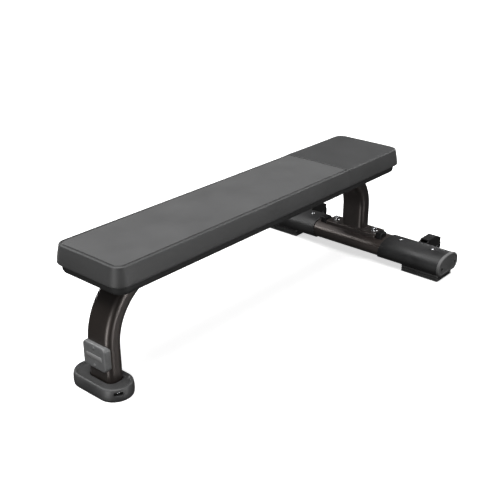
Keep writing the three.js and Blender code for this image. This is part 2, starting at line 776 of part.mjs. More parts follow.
  const seat = forkSide + FIT_GAP; // of the bolt's head outboard and of the nut inboard
  addPiece(
    `axle_bolt_${side}`,
    screw("axle", 2 * seat + AXLE_NUT_HEIGHT + AXLE_BOLT_TAIL)
      .rotateX(towards(sign))
      .translate(WHEEL_X, wheelY + sign * seat, WHEEL_Z),
    "blackScrew",
  );
  const [nut0, nut1] = [seat, seat + AXLE_NUT_HEIGHT]
    .map((distance) => wheelY - sign * distance)
    .sort((a, b) => a - b);
  addPiece(
    `axle_nut_${side}`,
    cut(
      rodY(SCREWS.axle.headR, WHEEL_X, WHEEL_Z, nut0, nut1, 6),
      rodY(holeR("axle"), WHEEL_X, WHEEL_Z, nut0 - 1, nut1 + 1, 20),
    ),
    "zinc",
  );
}

// ---------- front boot: rubber foot that the leg stands in ----------
const stadium = (inset) =>
  roundedRect(
    2 * (BOOT_HALF_WIDTH - inset),
    2 * (BOOT_HALF_LENGTH - inset),
    BOOT_HALF_WIDTH - inset - 0.01,
  );
const bootBody = new THREE.ExtrudeGeometry(stadium(BOOT_EDGE_IN), {
  depth: 2 * (BOOT_HEIGHT - BOOT_EDGE_DROP),
  bevelThickness: BOOT_EDGE_DROP,
  bevelSize: BOOT_EDGE_IN,
  bevelSegments: 3,
  curveSegments: 6,
}).translate(BOOT_X, 0, -(BOOT_HEIGHT - BOOT_EDGE_DROP));
const belowFloor = box(-LENGTH, 0, -LENGTH, LENGTH, -2 * BOOT_HEIGHT, 0);
const legSocket = (gap, z0, z1) =>
  slab(
    roundedRect(TUBE_THICKNESS + 2 * gap, TUBE_WIDTH + 2 * gap, TUBE_CORNER_R + gap),
    LEG_X,
    z0,
    z1,
    5,
  );
// The top is dished: it slopes down from a rounded rim to the leg.
const dish = new THREE.ExtrudeGeometry(stadium(BOOT_RIM_WIDTH + BOOT_DISH_SLOPE), {
  depth: BOOT_HEIGHT,
  bevelThickness: BOOT_DISH_DEPTH,
  bevelSize: BOOT_DISH_SLOPE,
  bevelSegments: 3,
  curveSegments: 6,
}).translate(BOOT_X, 0, BOOT_HEIGHT);

// One screw at each end, set in a slot that faces forwards and sideways.
const screwTurn = THREE.MathUtils.degToRad(BOOT_SCREW_TURN);
const bootEndY = BOOT_HALF_LENGTH - BOOT_HALF_WIDTH;
const atBootEnd = (geometry, sign) =>
  geometry
    .rotateZ(sign < 0 ? -screwTurn : Math.PI + screwTurn)
    .translate(BOOT_X, sign * bootEndY, 0);
const bootSlotSeat = BOOT_HALF_WIDTH - BOOT_SLOT_DEPTH;
addPiece(
  "front_boot",
  cut(
    bootBody,
    belowFloor,
    dish,
    legSocket(FIT_GAP, BOOT_FLOOR, BOOT_HEIGHT + 1),
    legSocket(
      BOOT_POCKET_GAP,
      BOOT_HEIGHT - BOOT_DISH_DEPTH - BOOT_POCKET_DEPTH,
      BOOT_HEIGHT + 1,
    ),
    ...sides.flatMap(({ sign }) => [
      atBootEnd(
        runAcross(
          roundedRect(BOOT_SLOT_LENGTH, BOOT_SLOT_HEIGHT, BOOT_SLOT_CORNER_R),
          0,
          -BOOT_HALF_WIDTH - 1,
          -bootSlotSeat,
          3,
        ).translate(0, 0, BOOT_SCREW_Z),
        sign,
      ),
      atBootEnd(
        rodY(holeR("boot"), 0, BOOT_SCREW_Z, -bootSlotSeat - 1, -BOOT_SCREW_END + 1, 12),
        sign,
      ),
    ]),
  ),
  "greyRubber",
);
for (const { side, sign } of sides) {
  addPiece(
    `boot_screw_${side}`,
    atBootEnd(
      screw("boot", bootSlotSeat - BOOT_SCREW_END)
        .rotateX(towards(-1))
        .translate(0, -bootSlotSeat - FIT_GAP, BOOT_SCREW_Z),
      sign,
    ),
    "zinc",
  );
}

// ---------- plain badge block wrapped round the front of the leg ----------
const badgeFront = legFront - BADGE_PROUD;
const badgeBack = legFront + BADGE_WRAP;
const badgeSeat = badgeFront + BADGE_RECESS_DEPTH;
const badgeBody = new THREE.ExtrudeGeometry(
  roundedRect(
    BADGE_WIDTH - 2 * BADGE_EDGE,
    BADGE_HEIGHT - 2 * BADGE_EDGE,
    BADGE_CORNER_R - BADGE_EDGE,
  ),
  {
    depth: badgeBack - badgeFront,
    bevelThickness: BADGE_EDGE,
    bevelSize: BADGE_EDGE,
    bevelSegments: 3,
    curveSegments: 5,
  },
)
  .rotateZ(Math.PI / 2)
  .rotateY(Math.PI / 2)
  .translate(badgeFront + BADGE_EDGE, 0, BADGE_Z);
addPiece(
  "badge_block",
  cut(
    badgeBody,
    box(badgeBack, LEG_X, -BADGE_WIDTH, BADGE_WIDTH, 0, 2 * BADGE_Z),
    legSocket(FIT_GAP, BADGE_Z - BADGE_HEIGHT, BADGE_Z + BADGE_HEIGHT),
    ...badgeScrewZs.map((z) => rodX(holeR("badge"), 0, z, badgeFront - 1, LEG_X, 12)),
    ...badgeScrewZs.map((z) => rodX(BADGE_RECESS_R, 0, z, badgeFront - 1, badgeSeat, 16)),
  ),
  "badgeGrey",
);
badgeScrewZs.forEach((z, index) => {
  addPiece(
    `badge_screw_${index + 1}`,
    screw("badge", legFront + BADGE_SCREW_GRIP - badgeSeat)
      .rotateY(-Math.PI / 2)
      .translate(badgeSeat - FIT_GAP, 0, z),
    "blackScrew",
  );
});

// ---------- pad: brackets, board, under-tray, main cushion and head cushion ----------
const bracketXs = [-1, 1].map(
  (which) => (beamFront + beamRear) / 2 + which * BRACKET_FROM_CENTRE,
);
const bracketTop = PAD_BASE - FIT_GAP;
const bracketBottom = BEAM_TOP + FIT_GAP;
const boardTop = PAD_BASE + BOARD_THICKNESS;
const padBoltSeat = bracketBottom - FIT_GAP;
const padBoltSpots = bracketXs.flatMap((x) => [-PAD_BOLT_Y, PAD_BOLT_Y].map((y) => [x, y]));
bracketXs.forEach((x, index) => {
  const name = index === 0 ? "pad_bracket_front" : "pad_bracket_rear";
  addPiece(
    name,
    cut(
      slab(
        roundedRect(BRACKET_LENGTH, BRACKET_WIDTH, BRACKET_CORNER_R),
        x,
        bracketBottom,
        bracketTop,
        3,
      ),
      ...[-PAD_BOLT_Y, PAD_BOLT_Y].map((y) =>
        rodZ(holeR("pad"), x, y, bracketBottom - 1, bracketTop + 1, 16),
      ),
    ),
    "bronzePaint",
  );
});
padBoltSpots.forEach(([x, y], index) => {
  addPiece(
    `pad_bolt_${index + 1}`,
    screw("pad", boardTop - PAD_BOLT_SKIN - 1 - padBoltSeat)
      .rotateX(UPSIDE_DOWN)
      .translate(x, y, padBoltSeat),
    "zinc",
  );
});

const trayScrewSpots = [-TRAY_SCREW_SHARE, TRAY_SCREW_SHARE].flatMap((share) =>
  [-TRAY_SCREW_Y, TRAY_SCREW_Y].map((y) => [PAD_CENTRE_X + share * PAD_LENGTH, y]),
);
addPiece(
  "pad_board",
  cut(
    slab(
      roundedRect(PAD_LENGTH - 2 * BOARD_INSET, PAD_WIDTH - 2 * BOARD_INSET, BOARD_CORNER_R),
      PAD_CENTRE_X,
      PAD_BASE,
      boardTop,
    ),
    ...padBoltSpots.map(([x, y]) =>
      rodZ(holeR("pad"), x, y, PAD_BASE - 1, boardTop - PAD_BOLT_SKIN, 16),
    ),
    ...trayScrewSpots.map(([x, y]) =>
      rodZ(holeR("tray"), x, y, PAD_BASE - 1, boardTop - TRAY_SCREW_SKIN, 12),
    ),
  ),
  "plywood",
);

// Where the legs' outer curves pass the tray's underside.
const riseThrough = (bendR) => {
  const outerR = bendR + TUBE_THICKNESS / 2;
  const rise = TRAY_BOTTOM - (BEAM_Z - bendR);
  return Math.sqrt(outerR * outerR - rise * rise);
};
const slotFront = LEG_X + FRONT_BEND_R - riseThrough(FRONT_BEND_R) - TRAY_SLOT_CLEARANCE;
const slotRear = CROSS_X - REAR_BEND_R + riseThrough(REAR_BEND_R) + TRAY_SLOT_CLEARANCE;
const trayTop = PAD_BASE - FIT_GAP;
const trayLength = PAD_LENGTH - 2 * TRAY_INSET;
const trayWidth = PAD_WIDTH - 2 * TRAY_INSET;
const trayBlock = (inset, z0, top) =>
  cut(
    softSlab(
      trayLength - 2 * inset,
      trayWidth - 2 * inset,
      PAD_CORNER_R - TRAY_INSET / 2 - inset,
      PAD_CENTRE_X,
      z0,
      2 * trayTop - z0,
      TRAY_EDGE_IN,
      TRAY_EDGE_DROP,
    ),
    box(-LENGTH, LENGTH, -PAD_WIDTH, PAD_WIDTH, top, HEIGHT),
  );
const traySlot = slab(
  roundedRect(slotRear - slotFront, TRAY_SLOT_WIDTH, TRAY_SLOT_CORNER_R),
  (slotFront + slotRear) / 2,
  TRAY_BOTTOM - 1,
  trayTop + 1,
  4,
);
addPiece(
  "under_tray",
  cut(
    joined(
      cut(
        trayBlock(0, TRAY_BOTTOM, trayTop),
        trayBlock(TRAY_WALL, TRAY_BOTTOM + TRAY_WALL, trayTop + 1),
        traySlot,
      ),
      ...trayScrewSpots.map(([x, y]) => rodZ(TRAY_BOSS_R, x, y, TRAY_BOTTOM + 1, trayTop, 16)),
    ),
    ...trayScrewSpots.map(([x, y]) =>
      rodZ(holeR("tray"), x, y, TRAY_BOTTOM - 1, trayTop + 1, 12),
    ),
  ),
  "blackPlastic",
);
const traySeat = TRAY_BOTTOM - FIT_GAP;
trayScrewSpots.forEach(([x, y], index) => {
  addPiece(
    `tray_screw_${index + 1}`,
    screw("tray", boardTop - TRAY_SCREW_SKIN - 2 - traySeat)
      .rotateX(UPSIDE_DOWN)
      .translate(x, y, traySeat),
    "blackScrew",
  );
});

// Each cushion is foam in a stitched cover, with a pocket below for the board.
function cushionBlock(proud) {
  const top = HEIGHT + proud;
  return cut(
    softSlab(
      PAD_LENGTH + 2 * proud,
      PAD_WIDTH + 2 * proud,
      PAD_CORNER_R + proud,
      PAD_CENTRE_X,
      PAD_BASE - (top - PAD_BASE),
      top,
      CUSHION_EDGE_IN,
      CUSHION_EDGE_DROP,
      3,
    ),
    box(-LENGTH, LENGTH, -PAD_WIDTH, PAD_WIDTH, 0, PAD_BASE),
    slab(
      roundedRect(
        PAD_LENGTH - 2 * BOARD_INSET + 2 * FIT_GAP,
        PAD_WIDTH - 2 * BOARD_INSET + 2 * FIT_GAP,
        BOARD_CORNER_R + FIT_GAP,
      ),
      PAD_CENTRE_X,
      PAD_BASE - 1,
      PAD_BASE + BOARD_THICKNESS + FIT_GAP,
    ),
  );
}
addPiece(
  "cushion_main",
  cut(
    cushionBlock(0),
    box(SEAM_X - SEAM_GAP / 2, LENGTH, -PAD_WIDTH, PAD_WIDTH, 0, 2 * HEIGHT),
  ),
  "greyVinyl",
);
addPiece(
  "cushion_head",
  cut(
    cushionBlock(HEAD_PROUD),
    box(-LENGTH, SEAM_X + SEAM_GAP / 2, -PAD_WIDTH, PAD_WIDTH, 0, 2 * HEIGHT),
  ),
  "darkVinyl",
);

export default bench;
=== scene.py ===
import bpy
import bmesh
import numpy as np
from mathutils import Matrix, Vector


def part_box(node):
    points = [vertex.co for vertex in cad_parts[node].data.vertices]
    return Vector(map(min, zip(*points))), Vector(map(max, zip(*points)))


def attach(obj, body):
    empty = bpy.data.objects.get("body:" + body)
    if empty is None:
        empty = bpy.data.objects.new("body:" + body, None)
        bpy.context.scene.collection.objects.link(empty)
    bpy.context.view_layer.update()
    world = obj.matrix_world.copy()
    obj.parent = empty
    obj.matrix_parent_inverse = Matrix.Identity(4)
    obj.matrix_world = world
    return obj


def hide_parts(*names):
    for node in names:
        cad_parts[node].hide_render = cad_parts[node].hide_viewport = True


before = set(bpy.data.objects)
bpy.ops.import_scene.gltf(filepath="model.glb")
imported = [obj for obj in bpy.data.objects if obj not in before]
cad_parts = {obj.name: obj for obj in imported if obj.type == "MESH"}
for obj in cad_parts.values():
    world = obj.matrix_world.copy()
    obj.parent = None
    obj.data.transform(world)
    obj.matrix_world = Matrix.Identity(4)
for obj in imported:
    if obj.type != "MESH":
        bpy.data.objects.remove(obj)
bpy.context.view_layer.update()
MM = 0.001


# ---------------------------------------------------------------- room, light and camera
# A pale seamless floor and backdrop under a very soft overhead light. Strips of light round the
# bench only show as gleams, along its tubes and corners.
def place(tree, kind, inputs=None, **settings):
    """A shader node of that kind. Each input is a value or another node's output to link."""
    made = tree.nodes.new(kind)
    for key, value in settings.items():
        setattr(made, key, value)
    for key, value in (inputs or {}).items():
        if isinstance(value, bpy.types.NodeSocket):
            tree.links.new(value, made.inputs[key])
        else:
            made.inputs[key].default_value = value
    return made


def remap(tree, value, low, high, to_low=0.0, to_high=1.0, **settings):
    """A value's range from low to high stretched to another, and clamped."""
    wanted = {"Value": value, 1: low, 2: high, 3: to_low, 4: to_high}
    return place(tree, "ShaderNodeMapRange", wanted, **settings).outputs["Result"]


def product(tree, one, other, **settings):
    """Two values multiplied."""
    both = {0: one, 1: other}
    return place(tree, "ShaderNodeMath", both, operation="MULTIPLY", **settings).outputs["Value"]


def value_sockets(tree, inputs, outputs):
    """Gives a node group sockets of those names, each for a number."""
    for names, way in ((inputs, "INPUT"), (outputs, "OUTPUT")):
        for name in names:
            tree.interface.new_socket(name, in_out=way, socket_type="NodeSocketFloat")


def put_mesh(name, points, faces, material, body):
    """A mesh object of those points and faces, smooth but for its sharp edges."""
    mesh = bpy.data.meshes.new(name)
    mesh.from_pydata(points, [], faces)
    shell = bmesh.new()
    shell.from_mesh(mesh)
    bmesh.ops.remove_doubles(shell, verts=shell.verts, dist=0.004 * MM)
    bmesh.ops.recalc_face_normals(shell, faces=shell.faces)
    shell.to_mesh(mesh)
    shell.free()
    mesh.shade_smooth()
    mesh.set_sharp_from_angle(angle=np.radians(38))
    piece = bpy.data.objects.new(name, mesh)
    bpy.context.scene.collection.objects.link(piece)
    mesh.materials.append(material)
    if body:
        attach(piece, body)
    return piece


floor_paint = bpy.data.materials.new("floor_paint")
floor_paint.use_nodes = True
floor_tree = floor_paint.node_tree
pale = floor_tree.nodes["Principled BSDF"]
pale.inputs["Base Color"].default_value = (0.94, 0.94, 0.94, 1)
pale.inputs["Roughness"].default_value = 0.95
pale.inputs["Emission Color"].default_value = (1, 1, 1, 1)
pale.inputs["Emission Strength"].default_value = 0.65
dim = place(floor_tree, "ShaderNodeBsdfDiffuse", {"Color": (0.12, 0.12, 0.12, 1)})
seen = place(floor_tree, "ShaderNodeLightPath").outputs["Is Camera Ray"]
both = place(floor_tree, "ShaderNodeMixShader", {0: seen, 1: dim.outputs[0], 2: pale.outputs[0]})
floor_tree.links.new(both.outputs[0], floor_tree.nodes["Material Output"].inputs["Surface"])
floor_half = 30.0
floor = put_mesh(
    "floor",
    [
        (-floor_half, -floor_half, -0.0005),
        (floor_half, -floor_half, -0.0005),
        (floor_half, floor_half, -0.0005),
        (-floor_half, floor_half, -0.0005),
    ],
    [(0, 1, 2, 3)],
    floor_paint,
    None,
)
floor.visible_glossy = False
floor.visible_shadow = False

world = bpy.data.worlds.new("studio")
world.use_nodes = True
background = world.node_tree.nodes["Background"]
background.inputs["Color"].default_value = (1, 1, 1, 1)
ahead = place(world.node_tree, "ShaderNodeLightPath").outputs["Is Camera Ray"]
world_level = place(world.node_tree, "ShaderNodeMix", {0: ahead, 2: 0.07, 3: 1.0}).outputs[0]
world.node_tree.links.new(world_level, background.inputs["Strength"])
bpy.context.scene.world = world


def lamp(name, kind, at, towards, strength, size=None, soft_angle=None, fills=True):
    """A soft light at a point, aimed at another. One that doesn't fill only shows as a gleam."""
    data = bpy.data.lights.new(name, kind)
    data.energy = strength
    if size:
        data.shape = "RECTANGLE"
        data.size, data.size_y = size
    if soft_angle:
        data.angle = np.radians(soft_angle)
    made = bpy.data.objects.new(name, data)
    made.location = at
    made.rotation_euler = (Vector(towards) - Vector(at)).to_track_quat("-Z", "Y").to_euler()
    made.visible_diffuse = fills
    bpy.context.scene.collection.objects.link(made)


lamp("overhead", "SUN", (-0.5, -0.2, 4.0), (0, 0, 0), 4.7, soft_angle=60)
# Tall strips that reach below the floor, so that upright pieces gleam down to their feet, and
# two high ones behind that catch the shoulders of the tubes and the rim of the pad.
strip = (0.42, 2.4)
lamp("front_strip", "AREA", (-3.6, -0.35, -0.3), (-0.4, 0, -0.3), 62, size=strip, fills=False)
lamp("side_strip", "AREA", (0.3, -3.4, -0.3), (0.2, 0, -0.3), 62, size=strip, fills=False)
lamp("back_strip", "AREA", (3.6, 0.35, 0.5), (0.4, 0, 0.3), 16, size=(0.42, 0.8), fills=False)
lamp("far_strip", "AREA", (-0.3, 3.4, 0.5), (0.2, 0, 0.3), 16, size=(0.42, 0.8), fills=False)
lamp("far_high", "AREA", (-1.5, 2.3, 2.7), (0.2, 0, 0.2), 40, size=(1.2, 0.5), fills=False)
lamp("back_high", "AREA", (2.7, -1.6, 2.4), (0, 0, 0.3), 40, size=(1.2, 0.5), fills=False)

camera_data = bpy.data.cameras.new("camera")
camera_data.sensor_width = 36
camera_data.lens = 60.68
camera = bpy.data.objects.new("camera", camera_data)
azimuth, elevation, distance = np.radians(-49.4), np.radians(24.3), 2.8319
view_centre = Vector((-0.05425, -0.0049, 0.215))
camera.location = view_centre + distance * Vector(
    (
        np.sin(azimuth) * np.cos(elevation),
        -np.cos(azimuth) * np.cos(elevation),
        np.sin(elevation),
    )
)
camera.rotation_euler = (view_centre - camera.location).to_track_quat("-Z", "Y").to_euler()
bpy.context.scene.collection.objects.link(camera)
bpy.context.scene.camera = camera
bpy.context.scene.view_settings.view_transform = "Standard"


# ---------------------------------------------------------------- bent frame tube
# One rounded rectangular steel tube, bent over at both ends, which is the front leg, the beam
# under the pad and the rear leg. Its paint is a satin dark bronze with fine metal flake.
def grain_group():
    """Height and tone of a pebbled surface: rounded cells with soft creases, and slow mottling.

    Height is the distance to the nearest cell border, softened, plus a little fine noise.
    """
    tree = bpy.data.node_groups.new("pebbled_surface", "ShaderNodeTree")
    value_sockets(tree, ("Cells per metre", "Mottle per metre"), ("Height", "Tone"))
    given = place(tree, "NodeGroupInput")
    place_of = place(tree, "ShaderNodeTexCoord").outputs["Object"]
    wobble = place(
        tree,
        "ShaderNodeTexNoise",
        {"Vector": place_of, "Scale": given.outputs["Cells per metre"], "Detail": 2.0},
    )
    bent = place(
        tree,
        "ShaderNodeVectorMath",
        {0: wobble.outputs["Color"], 1: (0.0007, 0.0007, 0.0007), 2: place_of},
        operation="MULTIPLY_ADD",
    )
    cells = place(
        tree,
        "ShaderNodeTexVoronoi",
        {"Vector": bent.outputs["Vector"], "Scale": given.outputs["Cells per metre"]},
        feature="DISTANCE_TO_EDGE",
    )
    pillow = remap(
        tree, cells.outputs["Distance"], 0.0, 0.32, interpolation_type="SMOOTHSTEP"
    )
    mottle = place(
        tree,
        "ShaderNodeTexNoise",
        {"Vector": place_of, "Scale": given.outputs["Mottle per metre"], "Detail": 5.0},
    )
    out = place(
        tree,
        "NodeGroupOutput",
        {"Height": pillow, "Tone": mottle.outputs["Fac"]},
    )
    out.is_active_output = True
    return tree


def worn_edge_group():
    """Mask of the edges that rub: where a rounded normal leans from the true one, broken up."""
    tree = bpy.data.node_groups.new("rubbed_edges", "ShaderNodeTree")
    value_sockets(tree, ("Width", "Amount"), ("Mask",))
    given = place(tree, "NodeGroupInput")
    rounded = place(tree, "ShaderNodeBevel", {"Radius": given.outputs["Width"]}, samples=4)
    true = place(tree, "ShaderNodeNewGeometry")
    lean = place(
        tree,
        "ShaderNodeVectorMath",
        {0: rounded.outputs["Normal"], 1: true.outputs["Normal"]},
        operation="DOT_PRODUCT",
    )
    edge = remap(tree, lean.outputs["Value"], 0.995, 0.86)
    scuffs = place(
        tree,
        "ShaderNodeTexNoise",
        {
            "Vector": place(tree, "ShaderNodeTexCoord").outputs["Object"],
            "Scale": 160.0,
            "Detail": 6.0,
        },
    )
    broken = remap(tree, scuffs.outputs["Fac"], 0.42, 0.62)
    mask = product(tree, product(tree, edge, broken), given.outputs["Amount"], use_clamp=True)
    place(tree, "NodeGroupOutput", {"Mask": mask}).is_active_output = True
    return tree


pebbled_surface = grain_group()
rubbed_edges = worn_edge_group()


def surface_finish(
    name,
    colour,
    worn_colour,
    roughness,
    cells,
    bump,
    mottle=14.0,
    tone=0.12,
    metallic=0.0,
    wear_width=1.2 * MM,
    wear=0.6,
    rough_spread=0.10,
    panel=None,
    **shader_values,
):
    """A finish whose colour and roughness drift slowly, with a pebbled relief, painted shade in the
    grain's creases, and rubbed edges.

    Where a piece's own "panel" attribute is 1 it takes the panel's colour instead.
    """
    material = bpy.data.materials.new(name)
    material.use_nodes = True
    tree = material.node_tree
    shader = tree.nodes["Principled BSDF"]
    grain = place(tree, "ShaderNodeGroup", node_tree=pebbled_surface)
    grain.inputs["Cells per metre"].default_value = cells
    grain.inputs["Mottle per metre"].default_value = mottle
    rub = place(tree, "ShaderNodeGroup", node_tree=rubbed_edges)
    rub.inputs["Width"].default_value = wear_width
    rub.inputs["Amount"].default_value = wear
    drift = remap(tree, grain.outputs["Tone"], 0.3, 0.7, 1.0 - tone, 1.0 + tone)
    # Painted shade: the colour darkens in the creases between the grain's cells, where shade would
    # fall.
    crease_shade = remap(tree, grain.outputs["Height"], 0.0, 1.0, 1.0 - 0.9 * tone, 1.0)
    ground = colour
    if panel:
        on_panel = place(tree, "ShaderNodeAttribute", attribute_name="panel").outputs["Fac"]
        ground = place(
            tree, "ShaderNodeMix", {0: on_panel, 6: (*colour, 1), 7: (*panel, 1)}, data_type="RGBA"
        ).outputs[2]
    tinted = place(
        tree,
        "ShaderNodeVectorMath",
        {0: ground, "Scale": product(tree, drift, crease_shade)},
        operation="SCALE",
    )
    worn = place(
        tree,
        "ShaderNodeMix",
        {0: rub.outputs["Mask"], 6: tinted.outputs["Vector"], 7: (*worn_colour, 1)},
        data_type="RGBA",
    )
    tree.links.new(worn.outputs[2], shader.inputs["Base Color"])
    rough = remap(
        tree, grain.outputs["Tone"], 0.3, 0.7, roughness - rough_spread, roughness + rough_spread
    )
    tree.links.new(rough, shader.inputs["Roughness"])
    relief = place(
        tree,
        "ShaderNodeBump",
        {"Height": grain.outputs["Height"], "Strength": 1.0, "Distance": bump},
    )
    tree.links.new(relief.outputs["Normal"], shader.inputs["Normal"])
    shader.inputs["Metallic"].default_value = metallic
    for key, value in shader_values.items():
        shader.inputs[key.replace("_", " ")].default_value = value
    return material


bronze_paint = surface_finish(
    "bronze_paint",
    (0.046, 0.0345, 0.029),
    (0.074, 0.060, 0.052),
    roughness=0.42,
    cells=2600.0,
    bump=0.006 * MM,
    mottle=9.0,
    tone=0.07,
    metallic=0.55,
    wear_width=1.5 * MM,
    wear=0.25,
    rough_spread=0.05,
    Coat_Weight=0.55,
    Coat_Roughness=0.40,
)


def outline(x0, x1, half_y, r0, r1, corner=8, side=4, end=3):
    """Rounded rectangles in X and Y, one for each value given, each from x0 to x1.

    r0 and r1 round the corners at x0 and x1. Half of each outline runs from the middle of
    the x1 end round to the middle of the x0 end, and the other half mirrors it, so a point
    and its partner are as far from the two ends of the row.
    """
    x0, x1, half_y, r0, r1 = np.broadcast_arrays(*np.atleast_1d(x0, x1, half_y, r0, r1))
    column = [v.astype(float)[:, None] for v in (x0, x1, half_y, r0, r1)]
    x0, x1, half_y, r0, r1 = column
    turn = np.linspace(0, np.pi / 2, corner + 1)[None, :]
    across = (np.arange(end) + 0.5)[None, :] / end
    along = np.linspace(0, 1, side + 2)[None, 1:-1]
    xs = np.concatenate(
        [
            x1 + 0 * across,
            x1 - r1 + r1 * np.cos(turn),
            x1 - r1 + (x0 + r0 - x1 + r1) * along,
            x0 + r0 - r0 * np.sin(turn),
            x0 + 0 * across,
        ],
        1,
    )
    ys = np.concatenate(
        [
            (half_y - r1) * across,
            half_y - r1 + r1 * np.sin(turn),
            half_y + 0 * along,
            half_y - r0 + r0 * np.cos(turn),
            (half_y - r0) * across[:, ::-1],
        ],
        1,
    )
    return np.stack(
        [np.concatenate([xs, xs[:, ::-1]], 1), np.concatenate([ys, -ys[:, ::-1]], 1)], 2
    )


def ring_faces(rings, around, looped):
    """Four-sided faces between each ring of points and the next, right round, as indices."""
    ring, spot = np.meshgrid(
        np.arange(rings if looped else rings - 1), np.arange(around), indexing="ij"
    )
    after, beside = (ring + 1) % rings, (spot + 1) % around
    corners = [ring * around + spot, after * around + spot, after * around + beside]
    return np.stack([*corners, ring * around + beside], 2).reshape(-1, 4)


def skin(name, rings, material, body, looped=False):
    """A closed surface over rings of points.

    The first and last ring are closed straight across, each point to its mirrored partner,
    unless the rings make a loop.
    """
    count, around = rings.shape[:2]
    faces = [ring_faces(count, around, looped)]
    if not looped:
        near = np.arange(around // 2 - 1)
        lid = np.stack([near, near + 1, around - 2 - near, around - 1 - near], 1)
        faces += [lid, lid + (count - 1) * around]
    return put_mesh(
        name, rings.reshape(-1, 3), np.concatenate(faces).tolist(), material, body
    )


def levels(flat, heights):
    """Flat outlines lifted to their heights: rings of points for skin()."""
    z = np.broadcast_to(np.asarray(heights, float)[:, None], flat.shape[:2])
    return np.concatenate([flat, z[..., None]], 2)


def carry(section, path, normal):
    """A section (across Y, and out along the path's normal in X and Z) at each path point."""
    rings = np.zeros((len(path), len(section), 3))
    rings[..., 1] = section[None, :, 0]
    rings[..., 0] = path[:, :1] + section[None, :, 1] * normal[:, :1]
    rings[..., 2] = path[:, 1:] + section[None, :, 1] * normal[:, 1:]
    return rings


leg_low, leg_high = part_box("front_leg")
rear_low, rear_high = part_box("rear_leg")
tube_width = leg_high.y - leg_low.y
tube_thick = 56 * MM
tube_corner = 20 * MM
leg_x = leg_low.x + tube_thick / 2
front_radius = leg_high.x - leg_x
rear_x = rear_high.x - tube_thick / 2
rear_radius = rear_x - rear_low.x
beam_z = leg_high.z - tube_thick / 2


def tube_path():
    """Up the front leg, round its bend, along the beam, round the rear bend and down.

    Straight stretches join two quarter circles. Each point has its outward normal.
    """
    quarter = np.linspace(0, np.pi / 2, 40)
    front = np.stack(
        [
            leg_x + front_radius * (1 - np.cos(quarter)),
            beam_z - front_radius * (1 - np.sin(quarter)),
        ],
        1,
    )
    rear = np.stack(
        [
            rear_x - rear_radius * (1 - np.sin(quarter)),
            beam_z - rear_radius * (1 - np.cos(quarter)),
        ],
        1,
    )
    path = np.concatenate([[[leg_x, leg_low.z]], front, rear, [[rear_x, rear_low.z]]])
    normal = np.concatenate(
        [
            [[-1, 0]],
            np.stack([-np.cos(quarter), np.sin(quarter)], 1),
            np.stack([np.sin(quarter), np.cos(quarter)], 1),
            [[1, 0]],
        ]
    )
    return path, normal


tube_section = outline(
    -tube_width / 2, tube_width / 2, tube_thick / 2, tube_corner, tube_corner, corner=10
)[0]
frame_tube = skin("frame_tube", carry(tube_section, *tube_path()), bronze_paint, "frame")
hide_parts("front_leg", "main_beam", "rear_leg")

# ---------------------------------------------------------------- saddle under the rear leg
# A steel block shaped to the cross tube, welded to the rear leg and bolted down on both sides,
# with a small black plastic cover at each end. The bolts are bright zinc with chamfered heads.
cross_low, cross_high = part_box("cross_tube")
cross_x = (cross_low.x + cross_high.x) / 2
arch_half = (cross_high.x - cross_low.x) / 2
arch_waist = 55 * MM
arch_fullness = 0.66
arch_corner = 21.7 * MM


def arch_outline(inset, around=18):
    """Section of the cross tube in X and Z: flat below, an arch of two soft curves above.

    Each inset gives one outline. Half of it runs from the middle of the underside, round the
    lower corner, up the side and over the arch to the top, and the other half mirrors it.
    """
    inset = np.atleast_1d(np.asarray(inset, float))[:, None]
    half = arch_half - inset
    bottom = cross_low.z + inset
    top = cross_high.z - inset
    corner = np.maximum(arch_corner - inset, 1 * MM)
    turn = np.linspace(-np.pi / 2, 0, 9)[None, :]
    under = np.linspace(0.04, 0.8, 4)[None, :]
    t = np.linspace(0, 0.985, around)[None, :]
    weights = [(1 - t) ** 3, 3 * (1 - t) ** 2 * t, 3 * (1 - t) * t**2, t**3]
    arch_x = half * (weights[0] + weights[1] + arch_fullness * weights[2])
    rise = arch_fullness * weights[1] + weights[2] + weights[3]
    arch_z = arch_waist + (top - arch_waist) * rise
    xs = np.concatenate(
        [(half - corner) * under, half - corner + corner * np.cos(turn), arch_x], 1
    )
    zs = np.concatenate([bottom + 0 * under, bottom + corner + corner * np.sin(turn), arch_z], 1)
    return np.stack(
        [np.concatenate([xs, -xs[:, ::-1]], 1) + cross_x, np.concatenate([zs, zs[:, ::-1]], 1)], 2
    )


def on_arch(x, lift=0.0):
    """Height of the cross tube's top at x: the arch outline read back by interpolation."""
    curve = arch_outline(-lift, around=60)[0]
    upper = curve[curve[:, 1] > arch_waist]
    order = np.argsort(upper[:, 0])
    return np.interp(x, upper[order, 0], upper[order, 1])


def seated_block(name, low, high, corner, edge, material, sink=0.2 * MM):
    """A block with rounded top edges whose underside follows the cross tube's arch."""
    middle_y = (low.y + high.y) / 2
    turn = np.linspace(np.pi / 2, 0, 6)
    inset = np.concatenate([[edge * 2.5], edge - edge * np.cos(turn), [0.0]])
    height = np.concatenate([[high.z], high.z - edge + edge * np.sin(turn), [0.0]])
    radius = np.maximum(corner - inset, 0.6 * MM)
    flat = outline(
        low.x + inset, high.x - inset, (high.y - low.y) / 2 - inset, radius, radius, side=8
    )
    rings = levels(flat, height)
    rings[-1, :, 2] = on_arch(rings[-1, :, 0]) - sink
    rings[..., 1] += middle_y
    return skin(name, rings, material, "frame")


saddle = seated_block(
    "saddle_block", *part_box("saddle_plate"), 6 * MM, 2.2 * MM, bronze_paint
)
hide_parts("saddle_plate")

